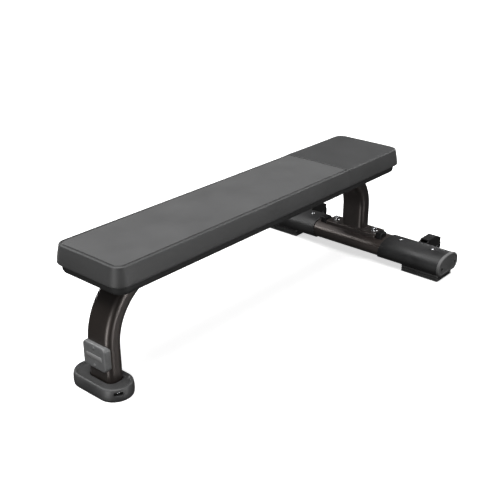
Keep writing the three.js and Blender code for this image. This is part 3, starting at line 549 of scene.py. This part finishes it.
black_plastic = surface_finish(
    "black_plastic",
    (0.003, 0.003, 0.0032),
    (0.014, 0.014, 0.014),
    roughness=0.52,
    cells=1500.0,
    bump=0.02 * MM,
    tone=0.16,
    wear=0.5,
    Specular_IOR_Level=0.3,
)
bright_zinc = surface_finish(
    "bright_zinc",
    (0.66, 0.67, 0.69),
    (0.82, 0.82, 0.83),
    roughness=0.26,
    cells=1800.0,
    bump=0.006 * MM,
    mottle=60.0,
    tone=0.10,
    metallic=1.0,
    wear_width=0.5 * MM,
)
dark_screw_steel = surface_finish(
    "dark_screw_steel",
    (0.028, 0.028, 0.030),
    (0.20, 0.20, 0.20),
    roughness=0.38,
    cells=1800.0,
    bump=0.006 * MM,
    mottle=60.0,
    metallic=0.8,
    wear_width=0.4 * MM,
)


def fastener(name, seat, points_to, profile, material, stands_for):
    """A turned or six-sided piece: rings of (radius, height, sides) stacked along its axis.

    Where sides is 6 the radius is that of a hexagon's flats, drawn out to its corners, but
    never past the ring's own limit, which gives the chamfer of a bolt's head.
    """
    angle = (np.arange(48) + 0.5) / 48 * 2 * np.pi
    to_flat = (angle + np.pi / 6) % (np.pi / 3) - np.pi / 6
    rows = []
    for ring in profile:
        radius, height = ring[:2]
        reach = radius + 0 * angle
        if len(ring) > 2:
            reach = np.minimum(radius / np.cos(to_flat), ring[2])
        rows.append(np.stack([reach * np.cos(angle), reach * np.sin(angle), height + 0 * angle], 1))
    turned = Vector(points_to).to_track_quat("Z", "Y").to_matrix()
    rings = np.array(rows) @ np.array(turned).T + np.array(seat)
    piece = skin(name, rings, material, "frame")
    if stands_for:
        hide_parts(*stands_for)
    return piece


def hex_bolt(flats, head, shank, length):
    """Rings of a bolt from the top of its head down: crown, chamfered flats, collar, shank."""
    corner = flats * 1.1547
    return [
        (0.3 * MM, head),
        (flats * 0.86, head),
        (flats, head - 0.10 * flats, flats * 1.01),
        (flats, head - 0.24 * flats, corner),
        (flats, 0.08 * head, corner),
        (flats, 0.0, corner * 0.985),
        (shank * 1.05, 0.0),
        (shank, -0.4 * MM),
        (shank, -length + 0.8 * MM),
        (shank - 0.8 * MM, -length),
    ]


for side in ("right", "left"):
    low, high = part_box(f"saddle_end_cover_{side}")
    cover = seated_block(f"saddle_cap_{side}", low, high, 5 * MM, 3 * MM, black_plastic)
    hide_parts(f"saddle_end_cover_{side}")
    low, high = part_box(f"saddle_bolt_{side}")
    wash_low, wash_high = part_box(f"saddle_washer_{side}")
    axis_y = (wash_low.y + wash_high.y) / 2
    fastener(
        f"saddle_hex_bolt_{side}",
        (cross_x, axis_y, wash_high.z),
        (0, 0, 1),
        hex_bolt(9.3 * MM, 10 * MM, 6 * MM, wash_high.z - low.z),
        bright_zinc,
        [f"saddle_bolt_{side}"],
    )
    fastener(
        f"saddle_flat_washer_{side}",
        (cross_x, axis_y, wash_low.z - 0.2 * MM),
        (0, 0, 1),
        [(0.5 * MM, 0.0), (12.4 * MM, 0.0), (13 * MM, 0.6 * MM), (13 * MM, 2 * MM)]
        + [(12.4 * MM, 2.6 * MM), (0.5 * MM, 2.6 * MM)],
        bright_zinc,
        [f"saddle_washer_{side}"],
    )


def weld_bead(name, section, z, reach, ripple_pitch):
    """A ring of weld round a tube's foot: a small round section carried along the outline.

    The bead's radius swells and shrinks evenly along the way, as a weaved weld does.
    """
    step = np.roll(section, -1, 0) - np.roll(section, 1, 0)
    length = np.cumsum(np.linalg.norm(section - np.roll(section, 1, 0), axis=1))
    out = np.stack([step[:, 1], -step[:, 0]], 1)
    out /= np.linalg.norm(out, axis=1)[:, None]
    swell = 1 + 0.16 * np.sin(2 * np.pi * length / ripple_pitch)
    turn = np.linspace(0, 2 * np.pi, 13)[:-1]
    radius = reach * swell[None, :]
    flat = section[None] + out[None] * (radius * np.cos(turn)[:, None])[..., None]
    lift = z + radius * np.sin(turn)[:, None]
    return skin(name, np.concatenate([flat, lift[..., None]], 2), bronze_paint, "frame", True)


weld_line = outline(
    rear_x - tube_thick / 2,
    rear_x + tube_thick / 2,
    tube_width / 2,
    tube_corner,
    tube_corner,
    corner=24,
    side=60,
    end=50,
)[0]
foot_weld = weld_bead("rear_leg_weld", weld_line, rear_low.z, 2.6 * MM, 3.4 * MM)

# ---------------------------------------------------------------- cross tube
# A wide steel tube across the back, flat below and arched above, in the same bronze paint.
# Only its middle shows, between the two plastic covers.
ends = np.array([cross_low.y, cross_high.y])
arch_x, arch_z = np.moveaxis(arch_outline([0.0, 0.0]), 2, 0)
cross_rings = np.stack([arch_x, ends[:, None] + 0 * arch_x, arch_z], 2)
cross_bar = skin("cross_bar", cross_rings, bronze_paint, "frame")
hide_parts("cross_tube")

# ---------------------------------------------------------------- plastic covers and end caps
# A satin grey moulded shell slides over each end of the cross tube, cut on a slant at its inner
# end and held by two bright screws on top. A textured cap closes it, with two dark screws.
cover_plastic = surface_finish(
    "cover_plastic",
    (0.018, 0.018, 0.0185),
    (0.042, 0.042, 0.043),
    roughness=0.44,
    cells=1300.0,
    bump=0.03 * MM,
    tone=0.10,
    wear=0.4,
    Specular_IOR_Level=0.4,
)
cap_plastic = surface_finish(
    "cap_plastic",
    (0.14, 0.14, 0.14),
    (0.16, 0.16, 0.16),
    roughness=0.62,
    cells=420.0,
    bump=0.22 * MM,
    tone=0.16,
    wear=0.2,
    Specular_IOR_Level=0.25,
)
cover_wall = 4.3 * MM
slant_low_y = 146 * MM
slant_high_y = 158 * MM


def button_screw(radius, height, socket, shank, length):
    """Rings of a domed screw from the floor of its six-sided socket out, over and down."""
    turn = np.linspace(0, np.pi / 2, 7)
    rim = socket + 0.5 * MM
    dome = [
        (rim + (radius - rim) * np.sin(a), height * (0.25 + 0.75 * np.cos(a))) for a in turn
    ]
    return [
        (0.3 * MM, 0.35 * height),
        (socket * 0.98, 0.35 * height, socket * 1.14),
        (socket, 0.97 * height, socket * 1.1547),
        *dome,
        (radius, 0.0),
        (shank, 0.0),
        (shank, -length),
    ]


for side, sign in (("right", -1), ("left", 1)):
    low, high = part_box(f"cross_cover_{side}")
    outer_y = max(abs(low.y), abs(high.y))
    edge = 1.6 * MM
    turn = np.linspace(0, np.pi / 2, 6)
    # From the inner lip over its rounded edge, along the outside and back along the inside.
    outward = cover_wall - edge * (1 - np.sin(turn))
    wall = np.concatenate([[0.3 * MM], outward, [cover_wall, cover_wall, 0.3 * MM]])
    along = np.concatenate([[0.0], edge * (1 - np.cos(turn)), [0.5, 1.0, 1.0]])
    section = arch_outline(-wall)
    height = np.clip((section[..., 1] - low.z) / (high.z - low.z), 0, 1)
    start = slant_low_y + (slant_high_y - slant_low_y) * height
    reach = np.where(along[:, None] < 0.4, along[:, None], 0)
    share = np.where(along[:, None] >= 0.4, along[:, None], 0)
    y = sign * (start + reach + share * (outer_y - start))
    sleeve = skin(
        f"cross_sleeve_{side}",
        np.stack([section[..., 0], y, section[..., 1]], 2),
        cover_plastic,
        "frame",
        looped=True,
    )
    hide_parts(f"cross_cover_{side}")

    for number in (1, 2):
        low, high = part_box(f"cover_screw_{side}_{number}")
        spot = ((low.x + high.x) / 2, (low.y + high.y) / 2)
        seat = high.z - 2.6 * MM
        fastener(
            f"cover_button_{side}_{number}",
            (*spot, seat),
            (0, 0, 1),
            button_screw(6 * MM, 2.8 * MM, 2.1 * MM, 2.5 * MM, seat - low.z),
            bright_zinc,
            [f"cover_screw_{side}_{number}"],
        )
        fastener(
            f"cover_boss_{side}_{number}",
            (*spot, seat),
            (0, 0, 1),
            [(6.2 * MM, -2.5 * MM), (6.2 * MM, 0.2 * MM), (6.8 * MM, 0.9 * MM)]
            + [(9.0 * MM, 0.9 * MM), (10.0 * MM, 0.1 * MM), (10.4 * MM, -2.5 * MM)],
            cover_plastic,
            [],
        )

    low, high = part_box(f"end_cap_{side}")
    face_y = max(abs(low.y), abs(high.y))
    joint_y = outer_y + 0.3 * MM
    turn = np.linspace(0, np.pi / 2, 8)
    edge = 4 * MM
    proud = cover_wall + 1.4 * MM
    face_step = 0.8 * MM
    wall = np.concatenate(
        [
            [0.0, proud - 0.6 * MM, proud],
            proud - edge * (1 - np.cos(turn)),
            [-2.5 * MM, -3.5 * MM, -9 * MM],
        ]
    )
    depth = np.concatenate(
        [
            [joint_y, joint_y, joint_y + 0.6 * MM],
            face_y - edge * (1 - np.sin(turn)),
            [face_y, face_y - face_step, face_y - face_step],
        ]
    )
    section = arch_outline(-wall)
    cap = skin(
        f"sleeve_cap_{side}",
        np.stack(
            [section[..., 0], sign * depth[:, None] + 0 * section[..., 0], section[..., 1]], 2
        ),
        cap_plastic,
        "frame",
    )
    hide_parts(f"end_cap_{side}")
    for number in (1, 2):
        low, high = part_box(f"cap_screw_{side}_{number}")
        fastener(
            f"cap_button_{side}_{number}",
            ((low.x + high.x) / 2, sign * (face_y - 0.9 * MM), (low.z + high.z) / 2),
            (0, sign, 0),
            button_screw(5 * MM, 2.6 * MM, 1.7 * MM, 2.5 * MM, 12 * MM),
            dark_screw_steel,
            [f"cap_screw_{side}_{number}"],
        )

# ---------------------------------------------------------------- rubber feet of the cross tube
# A ribbed block of moulded grey rubber under each end of the cross tube.
foot_rubber = surface_finish(
    "foot_rubber",
    (0.068, 0.0685, 0.069),
    (0.085, 0.085, 0.085),
    roughness=0.46,
    cells=900.0,
    bump=0.05 * MM,
    tone=0.14,
    wear=0.6,
)
for side in ("right", "left"):
    low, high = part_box(f"rear_foot_{side}")
    rib = 1.0 * MM
    groove = 2.6 * MM
    stations = [(30 * MM, 0.0), (rib, 0.0), (0.3 * rib, 0.3 * rib), (0.0, rib)]
    for z in (6.2 * MM, 14.2 * MM):
        stations += [(0.0, z), (0.8 * rib, z + 0.6 * MM), (groove, z + 1.0 * MM)]
        stations += [(groove, z + 2.6 * MM), (0.8 * rib, z + 3.0 * MM), (0.0, z + 3.6 * MM)]
    stations += [(0.0, high.z - rib), (0.3 * rib, high.z - 0.3 * rib)]
    stations += [(rib, high.z), (30 * MM, high.z)]
    inset, height = np.array(stations).T
    radius = np.maximum(5 * MM - inset, 1 * MM)
    flat = outline(
        low.x + inset, high.x - inset, (high.y - low.y) / 2 - inset, radius, radius
    )
    rings = levels(flat, height)
    rings[..., 1] += (low.y + high.y) / 2
    foot = skin(f"ribbed_foot_{side}", rings, foot_rubber, "frame")
    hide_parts(f"rear_foot_{side}")

# ---------------------------------------------------------------- transport wheels
# Two small rubber-tyred wheels behind the cross tube, each on a bolt through a black bracket.
# They stand clear of the floor until the front of the bench is lifted.
wheel_rubber = surface_finish(
    "wheel_rubber",
    (0.007, 0.007, 0.007),
    (0.025, 0.025, 0.025),
    roughness=0.66,
    cells=900.0,
    bump=0.04 * MM,
    tone=0.18,
)


def wheel_part(name, centre, profile, material, body, node):
    """A ring turned about the axle, which lies along Y: a loop of (radius, offset) stations."""
    radius, offset = np.array(profile).T
    angle = np.linspace(0, 2 * np.pi, 97)[:-1]
    rings = np.stack(
        [
            centre[0] + radius[:, None] * np.cos(angle),
            centre[1] + offset[:, None] + 0 * angle,
            centre[2] + radius[:, None] * np.sin(angle),
        ],
        2,
    )
    part = skin(name, rings, material, body, looped=True)
    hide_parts(node)


for side, sign in (("right", -1), ("left", 1)):
    low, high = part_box(f"wheel_tyre_{side}")
    hub_low, hub_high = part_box(f"wheel_hub_{side}")
    centre = ((low.x + high.x) / 2, (low.y + high.y) / 2, (low.z + high.z) / 2)
    tread_r = (high.z - low.z) / 2
    half = (high.y - low.y) / 2
    inner_r = 25 * MM
    turn = np.linspace(0, np.pi / 2, 7)
    shoulder = 4.5 * MM
    right_side = [(inner_r, half - 1 * MM), (inner_r + 2 * MM, half)] + [
        (tread_r - shoulder + shoulder * np.sin(a), half - shoulder + shoulder * np.cos(a))
        for a in turn
    ]
    groove = [
        (tread_r, 3.2 * MM),
        (tread_r - 1.2 * MM, 2.6 * MM),
        (tread_r - 1.2 * MM, 1.4 * MM),
        (tread_r, 0.8 * MM),
    ]
    tyre = right_side + groove
    tyre += [(r, -w) for r, w in reversed(tyre)]
    wheel_part(
        f"tyre_{side}", centre, tyre, wheel_rubber, f"{side}_wheel",
        f"wheel_tyre_{side}",
    )
    hub_half = (hub_high.y - hub_low.y) / 2
    bore = 5.1 * MM
    half_hub = [
        (bore, hub_half - 0.4 * MM),
        (bore + 0.4 * MM, hub_half),
        (10.4 * MM, hub_half),
        (11 * MM, hub_half - 0.6 * MM),
        (11.4 * MM, 7.6 * MM),
        (12.6 * MM, 6.8 * MM),
        (19.4 * MM, 6.8 * MM),
        (20.6 * MM, 7.6 * MM),
        (21 * MM, half - 1.8 * MM),
        (21.8 * MM, half - 1.1 * MM),
        (24 * MM, half - 1.1 * MM),
        (24.6 * MM, half - 1.7 * MM),
    ]
    hub = half_hub + [(r, -w) for r, w in reversed(half_hub)]
    wheel_part(
        f"hub_{side}", centre, hub, cover_plastic, f"{side}_wheel",
        f"wheel_hub_{side}",
    )
    low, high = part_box(f"wheel_fork_{side}")
    bolt_low, bolt_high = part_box(f"axle_bolt_{side}")
    cheek_y = high.y + 0.3 * MM if sign > 0 else low.y - 0.3 * MM
    fastener(
        f"axle_hex_bolt_{side}",
        (centre[0], cheek_y, centre[2]),
        (0, sign, 0),
        hex_bolt(7.4 * MM, 5.8 * MM, 5 * MM, bolt_high.y - bolt_low.y - 6 * MM),
        dark_screw_steel,
        [f"axle_bolt_{side}"],
    )

# ---------------------------------------------------------------- front boot
# A stadium-shaped moulded rubber foot. Its top is dished down to a gap round the leg, and a
# screw sits in a slot towards the front at each end.
boot_low, boot_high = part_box("front_boot")
boot_x = (boot_low.x + boot_high.x) / 2
boot_half_x = (boot_high.x - boot_low.x) / 2
boot_half_y = (boot_high.y - boot_low.y) / 2
boot_stations = np.array(
    [
        (20.0, 0.0),
        (3.4, 0.0),
        (2.4, 0.3),
        (1.6, 1.2),
        (0.3, 9.0),
        (0.0, 14.0),
        (0.4, 24.0),
        (1.4, 32.0),
        (2.2, 35.4),
        (3.6, 38.4),
        (5.6, 40.3),
        (8.0, 41.0),
        (10.4, 40.6),
        (12.2, 39.2),
        (13.6, 37.2),
        (16.0, 35.0),
        (19.5, 33.4),
    ]
)
inset, height = boot_stations.T * MM
radius = boot_half_x - inset - 0.01 * MM
boot_grid = dict(corner=24, side=10, end=3)
boot_flat = outline(
    boot_x - boot_half_x + inset,
    boot_x + boot_half_x - inset,
    boot_half_y - inset,
    radius,
    radius,
    **boot_grid,
)
gap = np.array([3.2, 2.4, 2.2]) * MM
socket_flat = outline(
    leg_x - tube_thick / 2 - gap,
    leg_x + tube_thick / 2 + gap,
    tube_width / 2 + gap,
    tube_corner + gap,
    tube_corner + gap,
    **boot_grid,
)
gap_height = np.array([32.2, 31.4, 24.0]) * MM
boot_rings = levels(
    np.concatenate([boot_flat, socket_flat]), np.concatenate([height, gap_height])
)
boot = skin("rubber_boot", boot_rings, foot_rubber, "frame")
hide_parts("front_boot")

slot_turn = np.radians(30)
end_y = boot_half_y - boot_half_x
for side, sign in (("right", -1), ("left", 1)):
    out = np.array([-np.sin(slot_turn), sign * np.cos(slot_turn), 0.0])
    along_slot = np.array([-out[1], out[0], 0.0])
    centre = np.array([boot_x, sign * end_y, 26 * MM])
    slot_flat = outline(-15 * MM, 15 * MM, 6.5 * MM, 6.2 * MM, 6.2 * MM)[0]
    depths = np.array([boot_half_x - 13 * MM, boot_half_x + 8 * MM])
    cutter_rings = (
        centre
        + slot_flat[None, :, :1] * along_slot
        + slot_flat[None, :, 1:] * np.array([0, 0, 1.0])
        + depths[:, None, None] * out
    )
    cutter = skin("slot_cutter", cutter_rings, foot_rubber, None)
    carve = boot.modifiers.new("slot", "BOOLEAN")
    carve.object = cutter
    carve.solver = "EXACT"
    with bpy.context.temp_override(object=boot, active_object=boot):
        bpy.ops.object.modifier_apply(modifier="slot")
    bpy.data.objects.remove(cutter)
    screw_at = centre + (boot_half_x - 13.1 * MM) * out
    fastener(
        f"boot_button_{side}",
        screw_at,
        out,
        button_screw(5.4 * MM, 4.2 * MM, 2.0 * MM, 3 * MM, 10 * MM),
        bright_zinc,
        [f"boot_screw_{side}"],
    )
boot.data.shade_smooth()
boot.data.set_sharp_from_angle(angle=np.radians(38))

# ---------------------------------------------------------------- badge block on the front leg
# A moulded silver-grey block wrapped round the front of the leg and held by two screws of the same
# grey.
# Its face is blank but for a plain pale bar let into it.
badge_grey = surface_finish(
    "badge_grey",
    (0.25, 0.252, 0.255),
    (0.32, 0.32, 0.32),
    roughness=0.36,
    cells=1100.0,
    bump=0.03 * MM,
    mottle=30.0,
    tone=0.12,
    wear=0.5,
)
inlay_white = surface_finish(
    "inlay_white",
    (0.42, 0.42, 0.42),
    (0.5, 0.5, 0.5),
    roughness=0.4,
    cells=1500.0,
    bump=0.01 * MM,
    tone=0.04,
    wear=0.2,
)
badge_low, badge_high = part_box("badge_block")
badge_z = (badge_low.z + badge_high.z) / 2
badge_half_z = (badge_high.z - badge_low.z) / 2
badge_half_y = (badge_high.y - badge_low.y) / 2


def facing_front(flat, depth):
    """Outlines drawn in Y and Z, set at depths along X, as rings of points."""
    x = np.broadcast_to(np.asarray(depth, float)[:, None], flat.shape[:2])
    return np.concatenate([x[..., None], flat], 2)


turn = np.linspace(0, np.pi / 2, 8)
edge = 5 * MM
inset = np.concatenate([[0.0], edge * (1 - np.cos(turn)), [12 * MM]])
depth = np.concatenate(
    [[badge_high.x], badge_low.x + edge * (1 - np.sin(turn)), [badge_low.x]]
)
radius = np.maximum(13 * MM - inset, 3 * MM)
badge_flat = outline(
    -badge_half_y + inset, badge_half_y - inset, badge_half_z - inset, radius, radius
)
badge_flat[..., 1] += badge_z
badge = skin("badge", facing_front(badge_flat, depth), badge_grey, "frame")
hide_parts("badge_block")
bar_flat = outline(-33 * MM, 33 * MM, 7.5 * MM, 3 * MM, 3 * MM)
bar_flat = np.repeat(bar_flat, 4, 0)
bar_flat[2:] *= np.array([0.985, 0.93])
bar_flat[..., 1] += badge_z
skin(
    "badge_bar",
    facing_front(bar_flat, badge_low.x + np.array([1.0, -0.2, -0.5, -0.5]) * MM),
    inlay_white,
    "frame",
)
for number in (1, 2):
    low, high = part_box(f"badge_screw_{number}")
    fastener(
        f"badge_button_{number}",
        (badge_low.x + 0.2 * MM, (low.y + high.y) / 2, (low.z + high.z) / 2),
        (-1, 0, 0),
        button_screw(4.6 * MM, 1.6 * MM, 1.6 * MM, 2.5 * MM, 10 * MM),
        badge_grey,
        [f"badge_screw_{number}"],
    )

# ---------------------------------------------------------------- under-tray
# A black moulded tray closes the underside of the pad round the beam. Its sides taper in below,
# and a long slot lets the beam rise through it.
tray_plastic = surface_finish(
    "tray_plastic",
    (0.004, 0.005, 0.0045),
    (0.014, 0.014, 0.014),
    roughness=0.72,
    cells=1200.0,
    bump=0.03 * MM,
    tone=0.15,
    wear=0.4,
)
tray_low, tray_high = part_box("under_tray")
tray_wall = 3 * MM
tray_corner = 37 * MM
slot_front_x, slot_rear_x = -0.572, 0.528
tray_grid = dict(corner=12, side=16, end=6)
turn = np.linspace(0, np.pi / 2, 9)
taper_in, taper_down = 11 * MM, 16 * MM
outer_inset = np.concatenate([[0.8 * MM, 0.0], taper_in * (1 - np.cos(turn))])
outer_z = np.concatenate(
    [[tray_high.z], [tray_high.z - 0.8 * MM], tray_low.z + taper_down * (1 - np.sin(turn))]
)
inner_inset = outer_inset[::-1] + tray_wall
inner_z = np.minimum(outer_z[::-1] + tray_wall, tray_high.z)
slot_inset = np.array([0.8, 0.0, 0.0, 0.8]) * MM
slot_z = tray_low.z + np.array([0.0, 0.8 * MM, tray_wall - 0.8 * MM, tray_wall])


def tray_outline(inset):
    """The tray's rounded outline, drawn in by each inset."""
    radius = tray_corner - inset
    return outline(
        tray_low.x + inset,
        tray_high.x - inset,
        (tray_high.y - tray_low.y) / 2 - inset,
        radius,
        radius,
        **tray_grid,
    )


slot_flat = outline(
    slot_front_x - slot_inset,
    slot_rear_x + slot_inset,
    75 * MM + slot_inset,
    25 * MM,
    25 * MM,
    **tray_grid,
)
tray_rings = levels(
    np.concatenate([tray_outline(outer_inset), slot_flat, tray_outline(inner_inset)]),
    np.concatenate([outer_z, slot_z, inner_z]),
)
tray = skin("pad_tray", tray_rings, tray_plastic, "frame", looped=True)
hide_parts("under_tray")

# ---------------------------------------------------------------- pad
# Firm foam on a plywood board, in two sewn vinyl covers that meet across the pad: a long main
# one with a top seam let in from its edge, and a plain one pulled over the rear end, a little
# proud of the other.
board_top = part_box("pad_board")[1].z
main_low, main_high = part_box("cushion_main")
head_low, head_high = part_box("cushion_head")
seam_x = (main_high.x + head_low.x) / 2
pad_base = main_low.z
vinyl_values = dict(
    roughness=0.52,
    cells=1250.0,
    bump=0.07 * MM,
    mottle=9.0,
    tone=0.05,
    wear=0.0,
    rough_spread=0.05,
    Sheen_Weight=0.12,
    Sheen_Roughness=0.5,
)
main_vinyl = surface_finish(
    "main_vinyl",
    (0.048, 0.0485, 0.049),
    (0.1, 0.1, 0.1),
    panel=(0.084, 0.0845, 0.085),
    **vinyl_values,
)
head_vinyl = surface_finish("head_vinyl", (0.036, 0.0365, 0.037), (0.1, 0.1, 0.1), **vinyl_values)

main_half = (main_high.y - main_low.y) / 2
wide_half = (head_high.y - head_low.y) / 2
pad_corner = 43 * MM
groove_depth = 5 * MM
groove_inner = 21 * MM
tuck_radius = 3.5 * MM
seam_round = 3 * MM
swell_share = 0.35
swell_limit = 0.8 * MM
held_height = 9 * MM


def pad_profile(top, seam_groove):
    """Stations of (inset from the widest outline, height) for a cushion's cover.

    They run from the middle of the top out over the rolled rim, down the flared side, under
    the edge and into the board's pocket.
    """
    rim_in = 8.5 * MM
    roll = 4.8 * MM if seam_groove else 7 * MM
    turn = np.linspace(0, np.pi / 2, 9)
    panel = np.concatenate([np.linspace(140, 34, 15), [30, 27, 25, 23.6, 22.6, 21.8]]) * MM
    stations = [np.stack([panel, top + 0 * panel], 1)]
    if seam_groove:
        dip = np.linspace(0, 1, 9)
        inset = (21.4 - 7.0 * dip) * MM
        stations.append(np.stack([inset, top - groove_depth * np.sin(np.pi * dip) ** 1.2], 1))
    stations.append(
        np.stack([rim_in + roll * (1 - np.sin(turn)), top - roll * (1 - np.cos(turn))], 1)
    )
    fall = np.linspace(0, 1, 12)[1:]
    side_top = top - roll
    side_low = pad_base + tuck_radius
    flare = rim_in * (1 - 0.45 * fall - 0.55 * np.sin(fall * np.pi / 2))
    stations.append(np.stack([flare, side_top + (side_low - side_top) * fall], 1))
    tuck = np.linspace(0, np.pi / 2, 5)[1:]
    stations.append(
        np.stack(
            [tuck_radius * (1 - np.cos(tuck)), side_low - tuck_radius * np.sin(tuck)], 1
        )
    )
    pocket = [(14.4 * MM, pad_base), (14.4 * MM, board_top + 0.3 * MM)]
    stations.append(np.array(pocket))
    return np.concatenate(stations)


def pad_cover(name, profile, far_x, toward, half, steps, material):
    """A cushion open to the seam: the profile carried round three sides of the pad.

    The stations run from the seam along one side, round the far end and back along the other
    side. Near the seam the cover rolls down and in a little, and a flat end closes it.
    """
    inset, height = profile.T
    inset, height = inset[:, None], height[:, None]
    radius = np.maximum(pad_corner - inset, 1.5 * MM)
    near_seam = np.array([0.0, 0.5, 1.2, 2.2, 3.6, 6.0]) * MM
    start_x = seam_x + toward * 0.06 * MM
    end_x = far_x - toward * inset
    run = np.linspace(0, 1, steps)[None, :]
    side_start = start_x + toward * 6 * MM
    side_end = end_x - toward * radius
    straight = side_start + (side_end - side_start) * run[:, 1:]
    turn = np.linspace(0, np.pi / 2, 15)[None, 1:]
    across = np.linspace(0, 1, 26)[None, 1:]
    half_y = half - inset
    xs = [
        start_x + toward * near_seam[None, :] + 0 * inset,
        straight,
        side_end + toward * radius * np.sin(turn),
        end_x + 0 * across[:, :-1],
    ]
    ys = [
        half_y + 0 * near_seam[None, :],
        half_y + 0 * straight,
        half_y - radius + radius * np.cos(turn),
        (half_y - radius) * (1 - across[:, :-1]),
    ]
    xs, ys = np.concatenate(xs, 1), np.concatenate(ys, 1)
    # The narrower cover eases out to the wider one's side before they meet.
    easing = np.clip(1 - np.abs(xs - start_x) / (60 * MM), 0, 1)
    ys = ys + (wide_half - half) * easing**2 * (3 - 2 * easing)
    xs = np.concatenate([xs, xs[:, ::-1]], 1)
    ys = np.concatenate([ys, -ys[:, ::-1]], 1)
    zs = height + 0 * xs
    # The top is crowned across the pad, and rolls down into the seam.
    top = profile[:, 1].max()
    on_top = np.clip((zs - (top - 12 * MM)) / (12 * MM), 0, 1)
    crown = 1.6 * MM * (1 - (ys / half) ** 2) * on_top
    from_seam = np.clip(np.abs(xs - start_x) / seam_round, 0, 1)
    roll = seam_round * (1 - np.sqrt(1 - (1 - from_seam) ** 2))
    zs = zs + crown - 0.8 * roll * on_top
    ys = ys * (1 - 0.25 * roll * on_top / half)
    rings = np.stack([xs, ys, zs], 2)
    count, around = rings.shape[:2]
    ring, spot = np.meshgrid(np.arange(count - 1), np.arange(around - 1), indexing="ij")
    corners = [ring * around + spot, (ring + 1) * around + spot]
    corners += [(ring + 1) * around + spot + 1, ring * around + spot + 1]
    faces = np.stack(corners, 2).reshape(-1, 4).tolist()
    near = np.arange(around // 2 - 1)
    lid = np.stack([near, near + 1, around - 2 - near, around - 1 - near], 1)
    faces += lid.tolist() + (lid + (count - 1) * around).tolist()
    first = np.arange(count) * around
    faces.append(np.concatenate([first, (first + around - 1)[::-1]]).tolist())
    piece = put_mesh(name, rings.reshape(-1, 3), faces, material, None)
    # The panel inside the groove is marked, for its own colour.
    points = np.zeros(len(piece.data.vertices) * 3)
    piece.data.vertices.foreach_get("co", points)
    points = points.reshape(-1, 3)
    inner = np.minimum(half - np.abs(points[:, 1]), np.abs(points[:, 0] - far_x))
    panel = (inner > groove_inner) & (points[:, 2] > top - 6 * MM)
    sewn = piece.data.attributes.new("panel", "FLOAT", "POINT")
    sewn.data.foreach_set("value", panel.astype(float))
    return piece


def swell(piece, seam_lines=None):
    """Cloth under slight inner pressure, held at its underside: the foam fills its cover.

    The vertices take a share of the movement, up to a limit, as on a firm cushion.
    """
    mesh = piece.data
    rest = np.zeros(len(mesh.vertices) * 3)
    mesh.vertices.foreach_get("co", rest)
    rest = rest.reshape(-1, 3)
    held = piece.vertex_groups.new(name="held")
    by_seam = np.abs(rest[:, 0] - seam_x) < 2 * MM
    low = np.nonzero((rest[:, 2] < pad_base + held_height) | by_seam)[0]
    held.add(low.tolist(), 1.0, "REPLACE")
    if seam_lines is not None:
        held.add(seam_lines(rest).tolist(), 1.0, "REPLACE")
    cloth = piece.modifiers.new("swell", "CLOTH")
    cloth.settings.quality = 5
    cloth.settings.mass = 0.4
    cloth.settings.tension_stiffness = 40
    cloth.settings.compression_stiffness = 40
    cloth.settings.shear_stiffness = 20
    cloth.settings.bending_stiffness = 10.0
    cloth.settings.use_pressure = True
    cloth.settings.uniform_pressure_force = 1.5
    cloth.settings.effector_weights.gravity = 0
    cloth.settings.vertex_group_mass = "held"
    cloth.point_cache.frame_start = 1
    cloth.point_cache.frame_end = 20
    for step in range(1, 21):
        bpy.context.scene.frame_set(step)
    grown = np.zeros_like(rest).reshape(-1)
    done = piece.evaluated_get(bpy.context.evaluated_depsgraph_get())
    done.data.vertices.foreach_get("co", grown)
    move = swell_share * (grown.reshape(-1, 3) - rest)
    size = np.linalg.norm(move, axis=1)[:, None] + 1e-9
    piece.modifiers.remove(cloth)
    bpy.context.scene.frame_set(1)
    eased = move * swell_limit * np.tanh(size / swell_limit) / size
    mesh.vertices.foreach_set("co", (rest + eased).reshape(-1))
    mesh.update()


main_profile = pad_profile(main_high.z - 0.6 * MM, True)
head_profile = pad_profile(head_high.z - 0.4 * MM, False)
main_cushion = pad_cover(
    "main_cushion", main_profile, main_low.x, -1, main_half, 120, main_vinyl
)
head_cushion = pad_cover(
    "head_cushion", head_profile, head_high.x, 1, wide_half, 40, head_vinyl
)


def groove_points(points):
    """Points in the sewn groove of the main cover: lower than the panel beside it."""
    inner = np.minimum(main_half - np.abs(points[:, 1]), points[:, 0] - main_low.x)
    in_band = (inner > 14.5 * MM) & (inner < 21.5 * MM)
    return np.nonzero(in_band & (points[:, 2] > main_high.z - 8 * MM))[0]


swell(main_cushion, groove_points)
swell(head_cushion)

for cushion, node, slot in (
    (main_cushion, "cushion_main", "main_vinyl"),
    (head_cushion, "cushion_head", "head_vinyl"),
):
    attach(cushion, "frame")
    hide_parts(node)

# ---------------------------------------------------------------- parts kept from the model
# The board and its brackets, the wheel brackets, and the screws and nuts that are mostly out
# of sight: each gets eased edges and a finish of its own.
plywood = surface_finish(
    "plywood",
    (0.40, 0.28, 0.16),
    (0.48, 0.36, 0.22),
    roughness=0.7,
    cells=500.0,
    bump=0.05 * MM,
    mottle=25.0,
    tone=0.2,
)
kept_finish = {
    "pad_board": (plywood, 0.6),
    "pad_bracket": (bronze_paint, 0.8),
    "wheel_fork": (black_plastic, 0.6),
    "pad_bolt": (bright_zinc, 0.3),
    "axle_nut": (dark_screw_steel, 0.3),
    "saddle_nut": (bright_zinc, 0.3),
    "tray_screw": (dark_screw_steel, 0.3),
    "foot_screw": (bright_zinc, 0.3),
}
for node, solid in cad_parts.items():
    for family, (finish, ease) in kept_finish.items():
        if node.startswith(family):
            solid.data.materials.clear()
            solid.data.materials.append(finish)
            weld = solid.modifiers.new("weld", "WELD")
            weld.merge_threshold = 0.01 * MM
            soften = solid.modifiers.new("soften", "BEVEL")
            soften.width = ease * MM
            soften.segments = 2
            soften.limit_method = "ANGLE"
            soften.angle_limit = np.radians(40)
            soften.harden_normals = False
